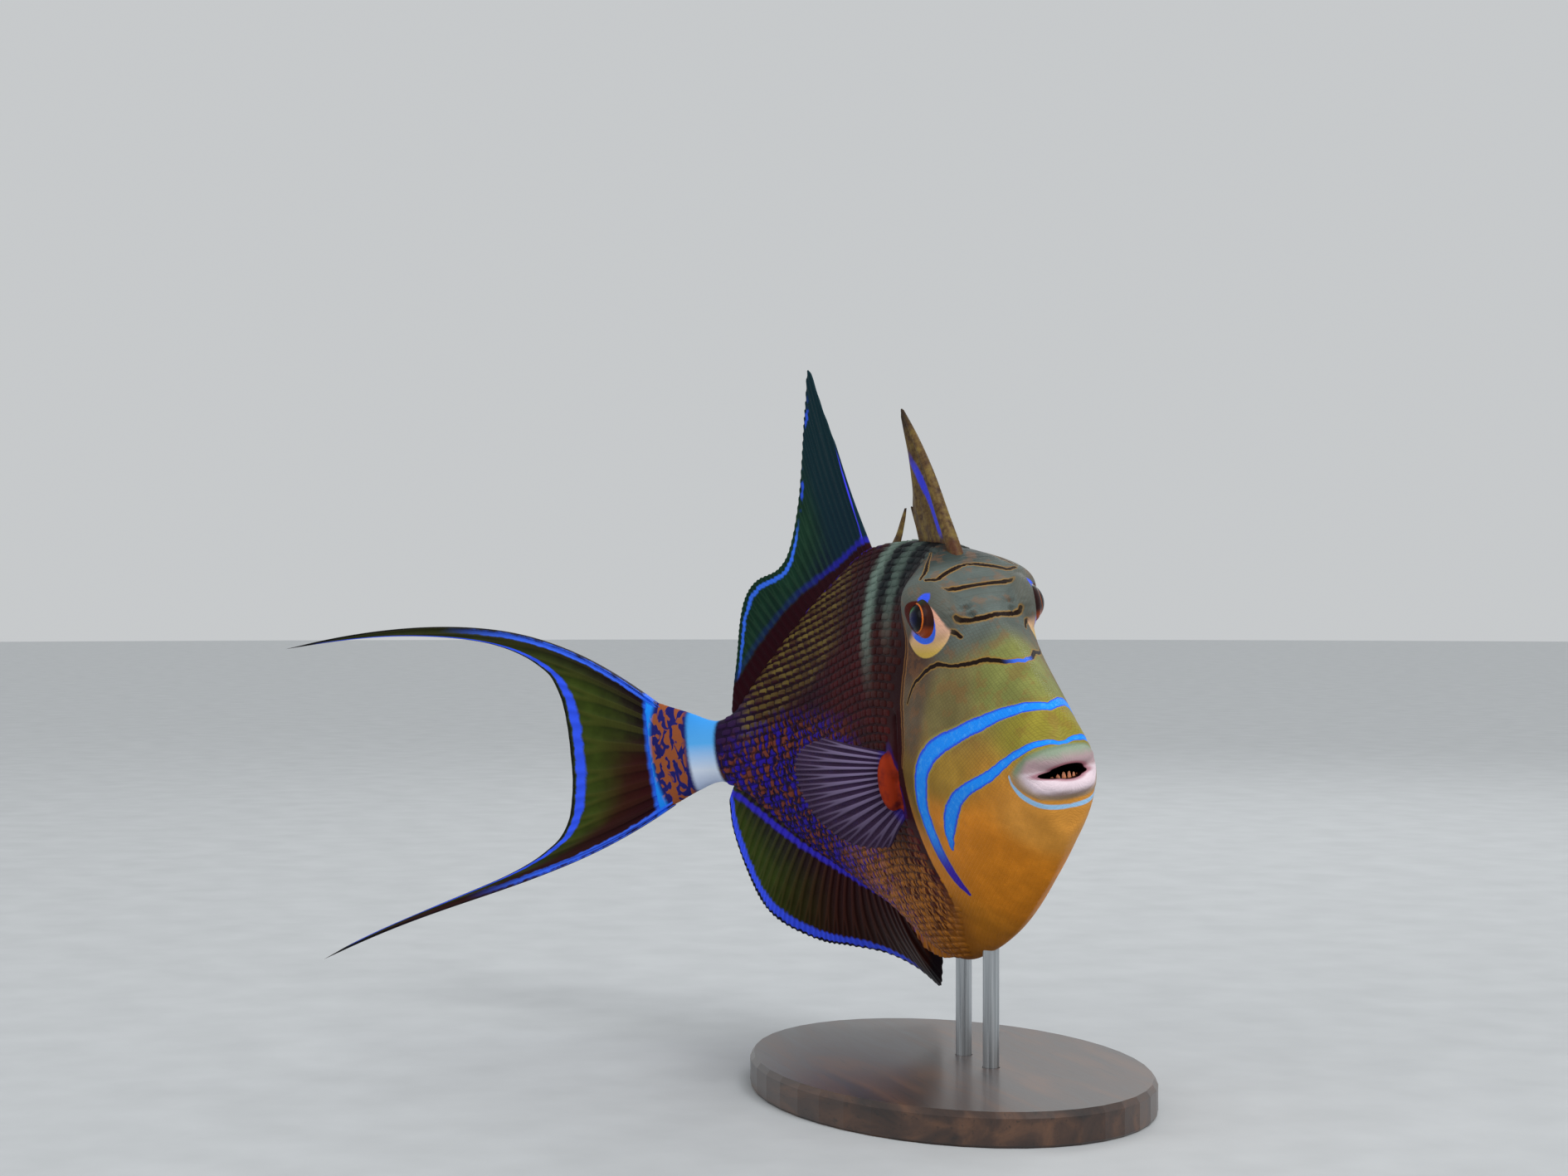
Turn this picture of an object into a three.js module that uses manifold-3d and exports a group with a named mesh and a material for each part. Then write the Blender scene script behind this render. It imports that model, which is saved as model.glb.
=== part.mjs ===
// A life-size model of a queen triggerfish (Balistes vetula) on a plain display stand.
// The fish banks a little to its right, its tail is bent to the right, and its dorsal and anal fins
// are caught in mid stroke. Millimetres, +X towards the snout, +Y to the fish's left, +Z up.
// The origin is the centre of the base's underside.
import * as THREE from "three";
import { mergeVertices } from "three/addons/utils/BufferGeometryUtils.js";
import Module from "manifold-3d";

const wasm = await Module();
wasm.setup();

// Driving dimensions. SL is the standard length, from the snout to the end of the tail stalk's scales.
const SL = 300;
const GAP = 0.3; // left between touching pieces
const SLIVER = 0.03; // the cuts' faces thinner than this are merged
const ROLL = THREE.MathUtils.degToRad(8); // the bank to the fish's right
const SNOUT = new THREE.Vector3(0.42 * SL, 0, 0.42 * SL); // the mouth's place over the base
const BEND_START = 0.3; // shares of SL behind the snout
const BEND_END = 1.3;
const BEND_TURN = THREE.MathUtils.degToRad(52); // how far the tail turns to the right

// Colours, as read off the animal.
const COLOURS = {
  face: 0x9a7a2c,
  flank: 0x4b3038,
  stalk: 0x5a86c8,
  fin: 0x3f4a22,
  spine: 0x70542a,
  pectoral: 0x6d6480,
  eye: 0x15121c,
  tooth: 0xe8d8cc,
  base: 0x2a2522,
  rod: 0xb8bcc0,
};

// Plain interpolation

// A smooth function through a few [x, y] points: cubic Hermite with averaged slopes.
function smooth(points) {
  const slopes = points.map((p, i) => {
    const before = points[Math.max(i - 1, 0)];
    const after = points[Math.min(i + 1, points.length - 1)];
    return (after[1] - before[1]) / (after[0] - before[0]);
  });
  return (x) => {
    if (x <= points[0][0]) return points[0][1];
    for (let i = 1; i < points.length; i++) {
      const [x0, y0] = points[i - 1];
      const [x1, y1] = points[i];
      if (x > x1) continue;
      const h = x1 - x0;
      const t = (x - x0) / h;
      const t2 = t * t;
      const t3 = t2 * t;
      return (
        (2 * t3 - 3 * t2 + 1) * y0 +
        (t3 - 2 * t2 + t) * h * slopes[i - 1] +
        (3 * t2 - 2 * t3) * y1 +
        (t3 - t2) * h * slopes[i]
      );
    }
    return points[points.length - 1][1];
  };
}

const lerp = THREE.MathUtils.lerp;

function easeIn(t) {
  const c = THREE.MathUtils.clamp(t, 0, 1);
  return c * c * (3 - 2 * c);
}

// The straight fish: u runs back from the snout, z up from the line of the mouth, in shares of SL.

const topLine = smooth([
  [0.04, 0.033], [0.046, 0.047], [0.06, 0.067], [0.1, 0.103], [0.16, 0.152], [0.21, 0.19], [0.25, 0.221],
  [0.29, 0.245], [0.33, 0.257], [0.38, 0.262], [0.46, 0.264], [0.56, 0.258], [0.64, 0.23], [0.717, 0.193],
  [0.79, 0.146], [0.84, 0.108], [0.88, 0.074], [0.91, 0.051], [0.945, 0.041], [0.99, 0.056], [1.03, 0.07],
  [1.06, 0.082],
]);
const bottomLine = smooth([
  [0.04, -0.033], [0.046, -0.05], [0.06, -0.074], [0.11, -0.117], [0.17, -0.155], [0.25, -0.2],
  [0.3, -0.222], [0.36, -0.243], [0.43, -0.261], [0.5, -0.26], [0.56, -0.238], [0.62, -0.212],
  [0.68, -0.19], [0.76, -0.153], [0.83, -0.114], [0.88, -0.08], [0.92, -0.054], [0.95, -0.045],
  [0.99, -0.056], [1.03, -0.072], [1.06, -0.084],
]);
const halfWidth = smooth([
  [0.04, 0.026], [0.046, 0.036], [0.06, 0.0435], [0.1, 0.059], [0.16, 0.08], [0.22, 0.094], [0.28, 0.1],
  [0.34, 0.102], [0.44, 0.099], [0.54, 0.09], [0.64, 0.073], [0.74, 0.053], [0.84, 0.034], [0.92, 0.022],
  [0.98, 0.016], [1.06, 0.009],
]);
// The height of the widest line, and how square the section is above and below it.
const widestLine = smooth([
  [0.03, 0], [0.1, -0.008], [0.16, -0.012], [0.25, 0], [0.4, 0.02], [0.6, 0.012], [0.85, 0], [1.06, 0],
]);
const topSquareness = smooth([
  [0.03, 2.2], [0.06, 1.8], [0.1, 1.5], [0.16, 1.42], [0.25, 1.5], [0.33, 1.75], [0.42, 1.95],
  [0.6, 1.85], [0.75, 1.8], [0.95, 2],
]);
const bottomSquareness = smooth([
  [0.03, 2.1], [0.06, 1.7], [0.1, 1.4], [0.16, 1.35], [0.25, 1.5], [0.36, 1.6], [0.55, 1.6],
  [0.7, 1.7], [0.95, 2],
]);
// The brow: the forehead swells out to each side over the eyes.
const BROW = { u: 0.258, z: 0.22, long: 0.052, tall: 0.048, out: 0.048, blend: 0.12 };

function browAt(u, z, across) {
  const swell = Math.exp(-(((u - BROW.u) / BROW.long) ** 2) - ((z - BROW.z) / BROW.tall) ** 2);
  return BROW.out * swell * Math.tanh(across / BROW.blend);
}

// The point of the skin at u and at an angle round the section, from the left side over the back.
function skinPoint(u, angle, grow = 0) {
  const c = Math.cos(angle);
  const s = Math.sin(angle);
  const middle = widestLine(u);
  const above = s >= 0;
  const power = 2 / (above ? topSquareness(u) : bottomSquareness(u));
  const reach = above ? topLine(u) - middle : middle - bottomLine(u);
  const margin = grow / SL;
  const z = middle + (reach + margin) * Math.sign(s) * Math.abs(s) ** power;
  const across = (halfWidth(u) + margin) * Math.abs(c) ** power + browAt(u, z, Math.abs(c));
  return { u, y: Math.sign(c) * across, z };
}

// How far the flank stands out at a height z of the section at u.
function sideReach(u, z) {
  const middle = widestLine(u);
  const above = z >= middle;
  const reach = above ? topLine(u) - middle : middle - bottomLine(u);
  const power = above ? topSquareness(u) : bottomSquareness(u);
  const share = Math.min(Math.abs((z - middle) / reach), 1);
  const across = Math.sqrt(1 - share ** power);
  return halfWidth(u) * across ** (2 / power) + browAt(u, z, across);
}

// The bend: the backbone's line in plan, worked out in short steps, turning to the fish's right.
const STEP = 0.005;
const FIRST_U = -0.1;
const backbone = [];
for (let u = FIRST_U, x = -FIRST_U, y = 0; u < 2; u += STEP) {
  const heading = BEND_TURN * easeIn((u - BEND_START) / (BEND_END - BEND_START));
  backbone.push({ x, y, heading });
  const next = BEND_TURN * easeIn((u + STEP - BEND_START) / (BEND_END - BEND_START));
  x -= STEP * Math.cos((heading + next) / 2);
  y -= STEP * Math.sin((heading + next) / 2);
}

// From the straight fish to the bent one, in millimetres from the snout.
function place({ u, y, z }) {
  const at = (u - FIRST_U) / STEP;
  const i = THREE.MathUtils.clamp(Math.floor(at), 0, backbone.length - 2);
  const t = at - i;
  const a = backbone[i];
  const b = backbone[i + 1];
  const heading = lerp(a.heading, b.heading, t);
  return new THREE.Vector3(
    (lerp(a.x, b.x, t) - y * Math.sin(heading)) * SL,
    (lerp(a.y, b.y, t) + y * Math.cos(heading)) * SL,
    z * SL,
  );
}

// Solids

function solidFrom(positions, triangles) {
  const geometry = new THREE.BufferGeometry();
  const numbers = positions.flatMap((p) => [p.x, p.y, p.z]);
  geometry.setAttribute("position", new THREE.Float32BufferAttribute(numbers, 3));
  geometry.setIndex(triangles.flat());
  return solidOf(geometry);
}

// A closed three.js geometry as a solid.
function solidOf(geometry, matrix = new THREE.Matrix4()) {
  const plain = new THREE.BufferGeometry();
  plain.setAttribute("position", geometry.getAttribute("position").clone());
  if (geometry.index) plain.setIndex(geometry.index);
  const merged = mergeVertices(plain.applyMatrix4(matrix), 1e-4);
  const solid = new wasm.Manifold(
    new wasm.Mesh({
      numProp: 3,
      vertProperties: new Float32Array(merged.attributes.position.array),
      triVerts: new Uint32Array(merged.index.array),
    }),
  );
  return solid;
}

function geometryOf(solid) {
  const mesh = solid.getMesh();
  const geometry = new THREE.BufferGeometry();
  geometry.setAttribute("position", new THREE.BufferAttribute(new Float32Array(mesh.vertProperties), 3));
  geometry.setIndex(new THREE.BufferAttribute(new Uint32Array(mesh.triVerts), 1));
  geometry.computeVertexNormals();
  return geometry;
}

// A cut can leave scraps: only the largest bodies stay.
function largestPieces(solid, count) {
  return solid.decompose().sort((p, q) => q.volume() - p.volume()).slice(0, count);
}

// A closed skin over a row of rings with the same number of points each, flat at both ends.
function loft(rings) {
  const count = rings[0].length;
  const positions = rings.flat();
  const triangles = [];
  for (let r = 0; r + 1 < rings.length; r++) {
    for (let j = 0; j < count; j++) {
      const a = r * count + j;
      const b = r * count + ((j + 1) % count);
      triangles.push([a, b + count, b], [a, a + count, b + count]);
    }
  }
  const ends = [[0, 1], [rings.length - 1, -1]];
  for (const [r, side] of ends) {
    const centre = rings[r].reduce((sum, p) => sum.add(p), new THREE.Vector3()).divideScalar(count);
    const middle = positions.push(centre) - 1;
    for (let j = 0; j < count; j++) {
      const a = r * count + j;
      const b = r * count + ((j + 1) % count);
      triangles.push(side > 0 ? [middle, a, b] : [middle, b, a]);
    }
  }
  return solidFrom(positions, triangles);
}

// The whole body before it is parted, grown by a margin for cutting its neighbours.
const BODY_STATIONS = [
  0.04, 0.042, 0.047, 0.057, 0.075, 0.1, 0.13, 0.16, 0.19, 0.22, 0.25, 0.28, 0.31, 0.34, 0.38, 0.42, 0.46,
  0.5, 0.54, 0.58, 0.62, 0.66, 0.7, 0.74, 0.78, 0.82, 0.86, 0.9, 0.94, 0.98, 1.02, 1.06,
];
const BODY_SIDES = 28;

function body(grow = 0) {
  const rings = BODY_STATIONS.map((u) => {
    const ring = [];
    for (let j = 0; j < BODY_SIDES; j++) {
      ring.push(place(skinPoint(u, (2 * Math.PI * j) / BODY_SIDES, grow)));
    }
    return ring;
  });
  return loft(rings);
}

// A sphere, scaled, turned about the vertical and placed on the straight fish. Sizes are shares of SL.
function ball(at, size, detail = 12, grow = 0, turn = 0) {
  const geometry = new THREE.SphereGeometry(1, detail, Math.round(detail * 0.7));
  const margin = grow / SL;
  const scale = new THREE.Vector3(size.u + margin, size.y + margin, size.z + margin).multiplyScalar(SL);
  const turned = new THREE.Quaternion().setFromAxisAngle(new THREE.Vector3(0, 0, 1), turn);
  return solidOf(geometry, new THREE.Matrix4().compose(place(at), turned, scale));
}

// A tube of varying radius along points of the straight fish, with pointed or blunt ends.
function tube(points, radii, sides = 8) {
  const placed = points.map(place);
  const rings = placed.map((p, i) => {
    const before = placed[Math.max(i - 1, 0)];
    const after = placed[Math.min(i + 1, placed.length - 1)];
    const along = after.clone().sub(before).normalize();
    const side = new THREE.Vector3(0, 0, 1).cross(along);
    if (side.lengthSq() < 0.05) side.set(1, 0, 0).cross(along);
    side.normalize();
    const up = along.clone().cross(side);
    const ring = [];
    for (let j = 0; j < sides; j++) {
      const angle = (-2 * Math.PI * j) / sides;
      ring.push(
        p.clone()
          .addScaledVector(side, Math.cos(angle) * radii[i] * SL)
          .addScaledVector(up, Math.sin(angle) * radii[i] * SL),
      );
    }
    return ring;
  });
  return loft(rings);
}

// Fins

// A fin as a closed plate with a raised ridge along each ray. Its point(a, b) runs along the base by a
// and out along the rays by b, and spread places the rays along the base. Thickness is in millimetres.
function rayedFin({ point, rays, rows, spread = (t) => t, rayRoot, rayTip, webRoot, webTip }) {
  const columns = rays * 2 + 1;
  const line = rows + 1;
  const grid = [];
  for (let i = 0; i < columns; i++) {
    for (let j = 0; j < line; j++) grid.push(place(point(spread(i / (columns - 1)), j / rows)));
  }
  const { clamp } = THREE.MathUtils;
  const at = (i, j) => grid[clamp(i, 0, columns - 1) * line + clamp(j, 0, rows)];
  const faces = [[], []];
  for (let i = 0; i < columns; i++) {
    for (let j = 0; j < line; j++) {
      const across = at(i + 1, j).clone().sub(at(i - 1, j));
      const along = at(i, j + 1).clone().sub(at(i, j - 1));
      const normal = across.cross(along).normalize();
      const onRay = i % 2 === 1;
      const b = j / rows;
      const thick = onRay ? lerp(rayRoot, rayTip, b) : lerp(webRoot, webTip, b);
      faces[0].push(at(i, j).clone().addScaledVector(normal, thick / 2));
      faces[1].push(at(i, j).clone().addScaledVector(normal, -thick / 2));
    }
  }
  const back = grid.length;
  const triangles = [];
  for (let i = 0; i + 1 < columns; i++) {
    for (let j = 0; j < rows; j++) {
      const a = i * line + j;
      const b = a + line;
      triangles.push([a, b, b + 1], [a, b + 1, a + 1]);
      triangles.push([back + a, back + b + 1, back + b], [back + a, back + a + 1, back + b + 1]);
    }
  }
  const rim = [];
  for (let i = 0; i + 1 < columns; i++) rim.push(i * line);
  for (let j = 0; j < rows; j++) rim.push((columns - 1) * line + j);
  for (let i = columns - 1; i > 0; i--) rim.push(i * line + rows);
  for (let j = rows; j > 0; j--) rim.push(j);
  rim.forEach((a, k) => {
    const b = rim[(k + 1) % rim.length];
    triangles.push([a, back + a, back + b], [a, back + b, b]);
  });
  return solidFrom([...faces[0], ...faces[1]], triangles);
}

const FIN_THICKNESS = { rayRoot: 2.8, rayTip: 1, webRoot: 1.6, webTip: 0.6 };
const ROOT_DEPTH = 0.022; // how deep inside the body a fin's plate starts, before it is cut back

// A fin of rays that run from a root line to a margin, both given along the base by a, with y to the
// left. The rays bow backwards by a share of their own length.
function spannedFin(root, margin, bow) {
  return (a, b) => {
    const from = root(a);
    const to = { u: margin.u(a), y: margin.y(a), z: margin.z(a) };
    const arch = Math.sin(Math.PI * b) * bow;
    return {
      u: lerp(from.u, to.u, b) + arch * Math.abs(to.z - from.z),
      y: lerp(from.y, to.y, b * (0.6 + 0.4 * b)),
      z: lerp(from.z, to.z, b) - arch * (to.u - from.u) * Math.sign(to.z - from.z),
    };
  };
}

// The soft dorsal fin: a tall pointed lobe in front, then a lower margin that swings to the right.
const DORSAL_START = 0.556;
const DORSAL_END = 0.905;
const dorsalMargin = {
  u: smooth([
    [0, 0.622], [0.04, 0.65], [0.07, 0.667], [0.12, 0.684], [0.2, 0.702], [0.3, 0.722], [0.42, 0.742],
    [0.5, 0.764], [0.6, 0.803], [0.68, 0.828], [0.76, 0.85], [0.86, 0.875], [0.94, 0.897], [1, 0.912],
  ]),
  y: smooth([[0, 0], [0.3, 0], [0.45, -0.02], [0.6, -0.03], [0.76, -0.03], [0.9, -0.015], [1, 0]]),
  z: smooth([
    [0, 0.385], [0.04, 0.452], [0.07, 0.498], [0.12, 0.462], [0.2, 0.415], [0.3, 0.345], [0.42, 0.27],
    [0.5, 0.243], [0.6, 0.23], [0.68, 0.209], [0.76, 0.176], [0.86, 0.13], [0.94, 0.085], [1, 0.052],
  ]),
};
const dorsalPoint = spannedFin(
  (a) => {
    const u = lerp(DORSAL_START, DORSAL_END, a);
    return { u, y: 0, z: topLine(u) - ROOT_DEPTH };
  },
  dorsalMargin,
  0.03,
);

// The anal fin mirrors it below, and its front lobe is swung to the fish's left.
const ANAL_START = 0.615;
const ANAL_END = 0.915;
const analMargin = {
  u: smooth([
    [0, 0.668], [0.05, 0.695], [0.09, 0.712], [0.16, 0.735], [0.24, 0.765], [0.34, 0.805], [0.44, 0.838],
    [0.54, 0.87], [0.64, 0.895], [0.74, 0.916], [0.84, 0.932], [0.93, 0.94], [1, 0.938],
  ]),
  y: smooth([
    [0, 0.09], [0.09, 0.112], [0.16, 0.1], [0.24, 0.08], [0.34, 0.055], [0.44, 0.035], [0.6, 0.006],
    [0.7, 0], [1, 0],
  ]),
  z: smooth([
    [0, -0.3], [0.05, -0.34], [0.09, -0.347], [0.16, -0.322], [0.24, -0.3], [0.34, -0.286], [0.44, -0.277],
    [0.54, -0.256], [0.64, -0.228], [0.74, -0.195], [0.84, -0.155], [0.93, -0.11], [1, -0.07],
  ]),
};
const analPoint = spannedFin(
  (a) => {
    const u = lerp(ANAL_START, ANAL_END, a);
    return { u, y: 0, z: bottomLine(u) + ROOT_DEPTH };
  },
  analMargin,
  0.03,
);

// The tail fin: its rays follow the edge of the lobe that they are nearest to, and the outermost
// are drawn out into filaments. The angles are upwards from straight back, by the distance run.
const TAIL_ROOT = 1.035;
const TAIL_ROOT_TOP = 0.067;
const TAIL_ROOT_BOTTOM = -0.074;
const upperEdge = smooth([[0, 0.69], [0.1, 0.58], [0.2, 0.4], [0.3, 0.2], [0.42, 0.05], [0.6, -0.1]]);
const lowerEdge = smooth([[0, -0.47], [0.12, -0.36], [0.22, -0.27], [0.38, -0.22], [0.6, -0.31]]);
const tailLength = smooth([
  [0, 0.64], [0.004, 0.56], [0.012, 0.45], [0.03, 0.34], [0.06, 0.262], [0.12, 0.204], [0.2, 0.178],
  [0.33, 0.162], [0.5, 0.158], [0.67, 0.168], [0.8, 0.187], [0.88, 0.222], [0.94, 0.285], [0.975, 0.37],
  [0.99, 0.47], [0.997, 0.57], [1, 0.64],
]);
const TAIL_STEPS = 16;

function tailPoint(a, b) {
  const point = { u: TAIL_ROOT, y: 0, z: lerp(TAIL_ROOT_TOP, TAIL_ROOT_BOTTOM, a) };
  const edge = a < 0.5 ? upperEdge : lowerEdge;
  const pull = Math.abs(1 - 2 * a) ** 0.8;
  const step = (tailLength(a) * b) / TAIL_STEPS;
  for (let i = 0; i < TAIL_STEPS; i++) {
    const angle = edge((i + 0.5) * step) * pull;
    point.u += step * Math.cos(angle);
    point.z += step * Math.sin(angle);
  }
  return point;
}

// A pectoral fin: a short fan behind the gill slit. The flare is how far it stands out from the flank.
const PECTORAL_U = 0.335;
const PECTORAL_TOP = 0.016;
const PECTORAL_BOTTOM = -0.046;
const pectoralLength = smooth([[0, 0.1], [0.15, 0.135], [0.45, 0.135], [0.75, 0.105], [1, 0.06]]);
const pectoralRise = smooth([[0, 0.3], [0.5, -0.15], [0.8, -0.6], [1, -0.95]]);

function pectoralPoint(side, flare) {
  return (a, b) => {
    const z = lerp(PECTORAL_TOP, PECTORAL_BOTTOM, a);
    const u = PECTORAL_U + 0.012 * Math.sin(Math.PI * a);
    const reach = pectoralLength(a) * b;
    const level = reach * Math.cos(pectoralRise(a));
    const out = flare * (1 - 0.25 * b);
    return {
      u: u + level * Math.cos(out),
      y: side * (sideReach(u, z) - 0.012 + level * Math.sin(out)),
      z: z + reach * Math.sin(pectoralRise(a)),
    };
  };
}

// The spiny dorsal fin: the long first spine, the second behind it, and the web that joins them. Each
// line runs from a root inside the back (b = 0) to a tip (b = 1).
function straight(from, to) {
  return (b) => ({ u: lerp(from.u, to.u, b), y: lerp(from.y, to.y, b), z: lerp(from.z, to.z, b) });
}

function curved(along, height) {
  const u = smooth(along);
  const z = smooth(height);
  return (b) => ({ u: u(b), y: 0, z: z(b) });
}

const firstSpine = curved(
  [[0, 0.29], [0.18, 0.308], [0.36, 0.329], [0.55, 0.351], [0.72, 0.372], [0.86, 0.393], [1, 0.42]],
  [[0, 0.232], [0.18, 0.261], [0.36, 0.296], [0.55, 0.337], [0.72, 0.369], [0.86, 0.396], [1, 0.426]],
);
const webEdge = curved(
  [[0, 0.412], [0.2, 0.424], [0.36, 0.431], [0.5, 0.422], [0.75, 0.418], [0.88, 0.421], [1, 0.423]],
  [[0, 0.232], [0.2, 0.268], [0.36, 0.3], [0.5, 0.325], [0.75, 0.368], [0.88, 0.394], [1, 0.418]],
);
const secondSpine = straight({ u: 0.388, y: 0, z: 0.232 }, { u: 0.43, y: 0, z: 0.306 });

function spine(line, radius) {
  const steps = 6;
  const points = [];
  const radii = [];
  for (let i = 0; i <= steps; i++) {
    points.push(line(i / steps));
    radii.push(radius * (1 - 0.75 * (i / steps) ** 2));
  }
  return tube(points, radii);
}

function web(front, rear, rays, rows) {
  const point = (a, b) => straight(front(b), rear(b))(a);
  return rayedFin({ point, rays, rows, rayRoot: 1.8, rayTip: 0.9, webRoot: 1.2, webTip: 0.7 });
}

// The short third spine with its bit of web, as a blade of oval rings that lean to the fish's left.
const THIRD_SPINE = [
  { u: 0.5, y: -0.005, z: 0.236, long: 0.026, wide: 0.0045 },
  { u: 0.498, y: 0, z: 0.258, long: 0.02, wide: 0.0045 },
  { u: 0.489, y: 0.004, z: 0.274, long: 0.012, wide: 0.004 },
  { u: 0.482, y: 0.009, z: 0.292, long: 0.005, wide: 0.0028 },
  { u: 0.478, y: 0.012, z: 0.304, long: 0.002, wide: 0.0012 },
];

function thirdSpine() {
  const sides = 10;
  const rings = THIRD_SPINE.map(({ u, y, z, long, wide }) => {
    const ring = [];
    for (let j = 0; j < sides; j++) {
      const angle = (2 * Math.PI * j) / sides;
      ring.push(place({ u: u + long * Math.cos(angle), y: y + wide * Math.sin(angle), z }));
    }
    return ring;
  });
  return loft(rings);
}

// The head's small parts

// The eyes look outwards and a little forwards.
const EYE = { u: 0.253, y: 0.056, z: 0.178 };
const EYE_RADIUS = 0.028;
const EYE_TURN = THREE.MathUtils.degToRad(20);
const RIM_SIZE = { u: 0.037, y: 0.0185, z: 0.037 };
const RIM_BACK = 0.004; // how far the rim's middle lies behind the eye's

function eyeball(side, grow = 0) {
  const size = { u: EYE_RADIUS, y: EYE_RADIUS, z: EYE_RADIUS };
  return ball({ ...EYE, y: side * EYE.y }, size, 16, grow, -side * EYE_TURN);
}

// The raised rim round the eye: a low mound that the eyeball stands out of.
function eyeMound(side) {
  const at = {
    u: EYE.u + RIM_BACK * Math.sin(EYE_TURN),
    y: side * (EYE.y - RIM_BACK * Math.cos(EYE_TURN)),
    z: EYE.z,
  };
  return ball(at, RIM_SIZE, 18, 0, -side * EYE_TURN);
}

// The mouth: thick lips that wrap round the front of the muzzle. They meet at the corners and stand a
// little apart in front.
const LIP_FRONT = 0.035;
const LIP_BACK = 0.045; // from the front of the lips' line to the corners
const LIP_SIDE = 0.036;
const UPPER_LIP = { radius: 0.0118, z: 0.02, corner: 0.0065 };
const LOWER_LIP = { radius: 0.0105, z: -0.016, corner: 0.006 };

function lip({ radius, z, corner }) {
  const points = [];
  const radii = [];
  const steps = 12;
  for (let i = 0; i <= steps; i++) {
    const angle = lerp(-1.5, 1.5, i / steps);
    const front = Math.cos(angle);
    points.push({
      u: LIP_FRONT + LIP_BACK * (1 - front),
      y: LIP_SIDE * Math.sin(angle),
      z: lerp(Math.sign(z) * corner, z, front ** 0.6),
    });
    radii.push(lerp(corner, radius, front ** 0.6));
  }
  return tube(points, radii, 8);
}

function mouthCavity() {
  return ball({ u: 0.045, y: 0, z: 0.0015 }, { u: 0.05, y: 0.034, z: 0.0085 }, 16);
}

// A row of chisel teeth on a bar that is sunk into the jaw. Up is 1 for the upper jaw, -1 for the lower.
const TEETH = 8;
const GUM_HEIGHT = 0.0105;
const GUM_RADIUS = 0.0036;

function jawPoint(t) {
  const angle = lerp(-1.1, 1.1, t);
  return { u: 0.052 + 0.03 * (1 - Math.cos(angle)), y: 0.022 * Math.sin(angle) };
}

function teeth(up, grow = 0) {
  const margin = grow / SL;
  const bar = [];
  for (let i = 0; i <= 6; i++) {
    bar.push({ ...jawPoint(lerp(-0.06 - margin * 15, 1.06 + margin * 15, i / 6)), z: up * GUM_HEIGHT });
  }
  let row = tube(bar, bar.map(() => GUM_RADIUS + margin), 6);
  for (let k = 0; k < TEETH; k++) {
    const t = (k + 0.5) / TEETH;
    const root = jawPoint(t);
    const long = 0.0045 + 0.0035 * (1 - Math.abs(2 * t - 1)) + margin;
    const points = [0, 1].map((s) => {
      return { u: root.u - 0.001 * s, y: root.y, z: up * (GUM_HEIGHT - long * s) };
    });
    row = row.add(tube(points, [0.0034 + margin, 0.0022 + margin], 4));
  }
  return largestPieces(row, 1)[0];
}

// The two nostrils in front of each eye.
function nostrils(side) {
  const holes = [[0.205, 0.176], [0.213, 0.185]].map(([u, z]) =>
    ball({ u, y: side * sideReach(u, z), z }, { u: 0.0036, y: 0.006, z: 0.0036 }, 8),
  );
  return holes[0].add(holes[1]);
}

// The short gill slit above and in front of the pectoral fin.
function gillSlit(side) {
  const points = [];
  for (let i = 0; i <= 6; i++) {
    const t = i / 6;
    const z = lerp(0.062, -0.012, t);
    const u = 0.316 + 0.01 * t - 0.006 * Math.sin(Math.PI * t);
    points.push({ u, y: side * sideReach(u, z), z });
  }
  return tube(points, points.map((_, i) => 0.0022 + 0.003 * Math.sin((Math.PI * i) / 6)), 6);
}

// The pelvic flap: a rough keel of scales along the belly, ending in the blunt pelvic spine.
const FLAP_START = 0.482;
const FLAP_END = 0.6;
const flapDepth = smooth([
  [0, 0.002], [0.25, 0.01], [0.5, 0.017], [0.62, 0.019], [0.75, 0.013], [1, 0.002],
]);

function flapPoint(a, b) {
  const u = lerp(FLAP_START, FLAP_END, a);
  const reach = (flapDepth(a) + 0.02) * b;
  return { u: u + 0.2 * reach, y: 0, z: bottomLine(u) + 0.02 - reach };
}

// Parting the body

// A thin slab across the straight fish, for parting the head, trunk and tail stalk.
function parting(u, lean = 0) {
  const slab = new THREE.BoxGeometry(GAP, 0.5 * SL, 0.8 * SL);
  const heading = place({ u: u + 0.01, y: 0, z: 0 }).sub(place({ u: u - 0.01, y: 0, z: 0 }));
  const turn = new THREE.Matrix4().makeRotationZ(Math.atan2(heading.y, heading.x));
  turn.multiply(new THREE.Matrix4().makeRotationY(lean));
  return solidOf(slab, turn.setPosition(place({ u, y: 0, z: 0 })));
}

const HEAD_END = 0.325;
const TRUNK_END = 0.905;

// The stand

const BASE_LENGTH = 210;
const BASE_WIDTH = 140;
const BASE_THICK = 12;
const BASE_BEVEL = 2;
const ROD_RADIUS = 3;
const ROD_SOCKET = 7; // how deep a rod stands in the base
const ROD_IN_FISH = 14; // how far a rod goes up into the belly

const fishMatrix = new THREE.Matrix4().makeRotationX(ROLL).setPosition(SNOUT);
const RODS = { stand_rod_front: 0.36, stand_rod_rear: 0.455 };

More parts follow.
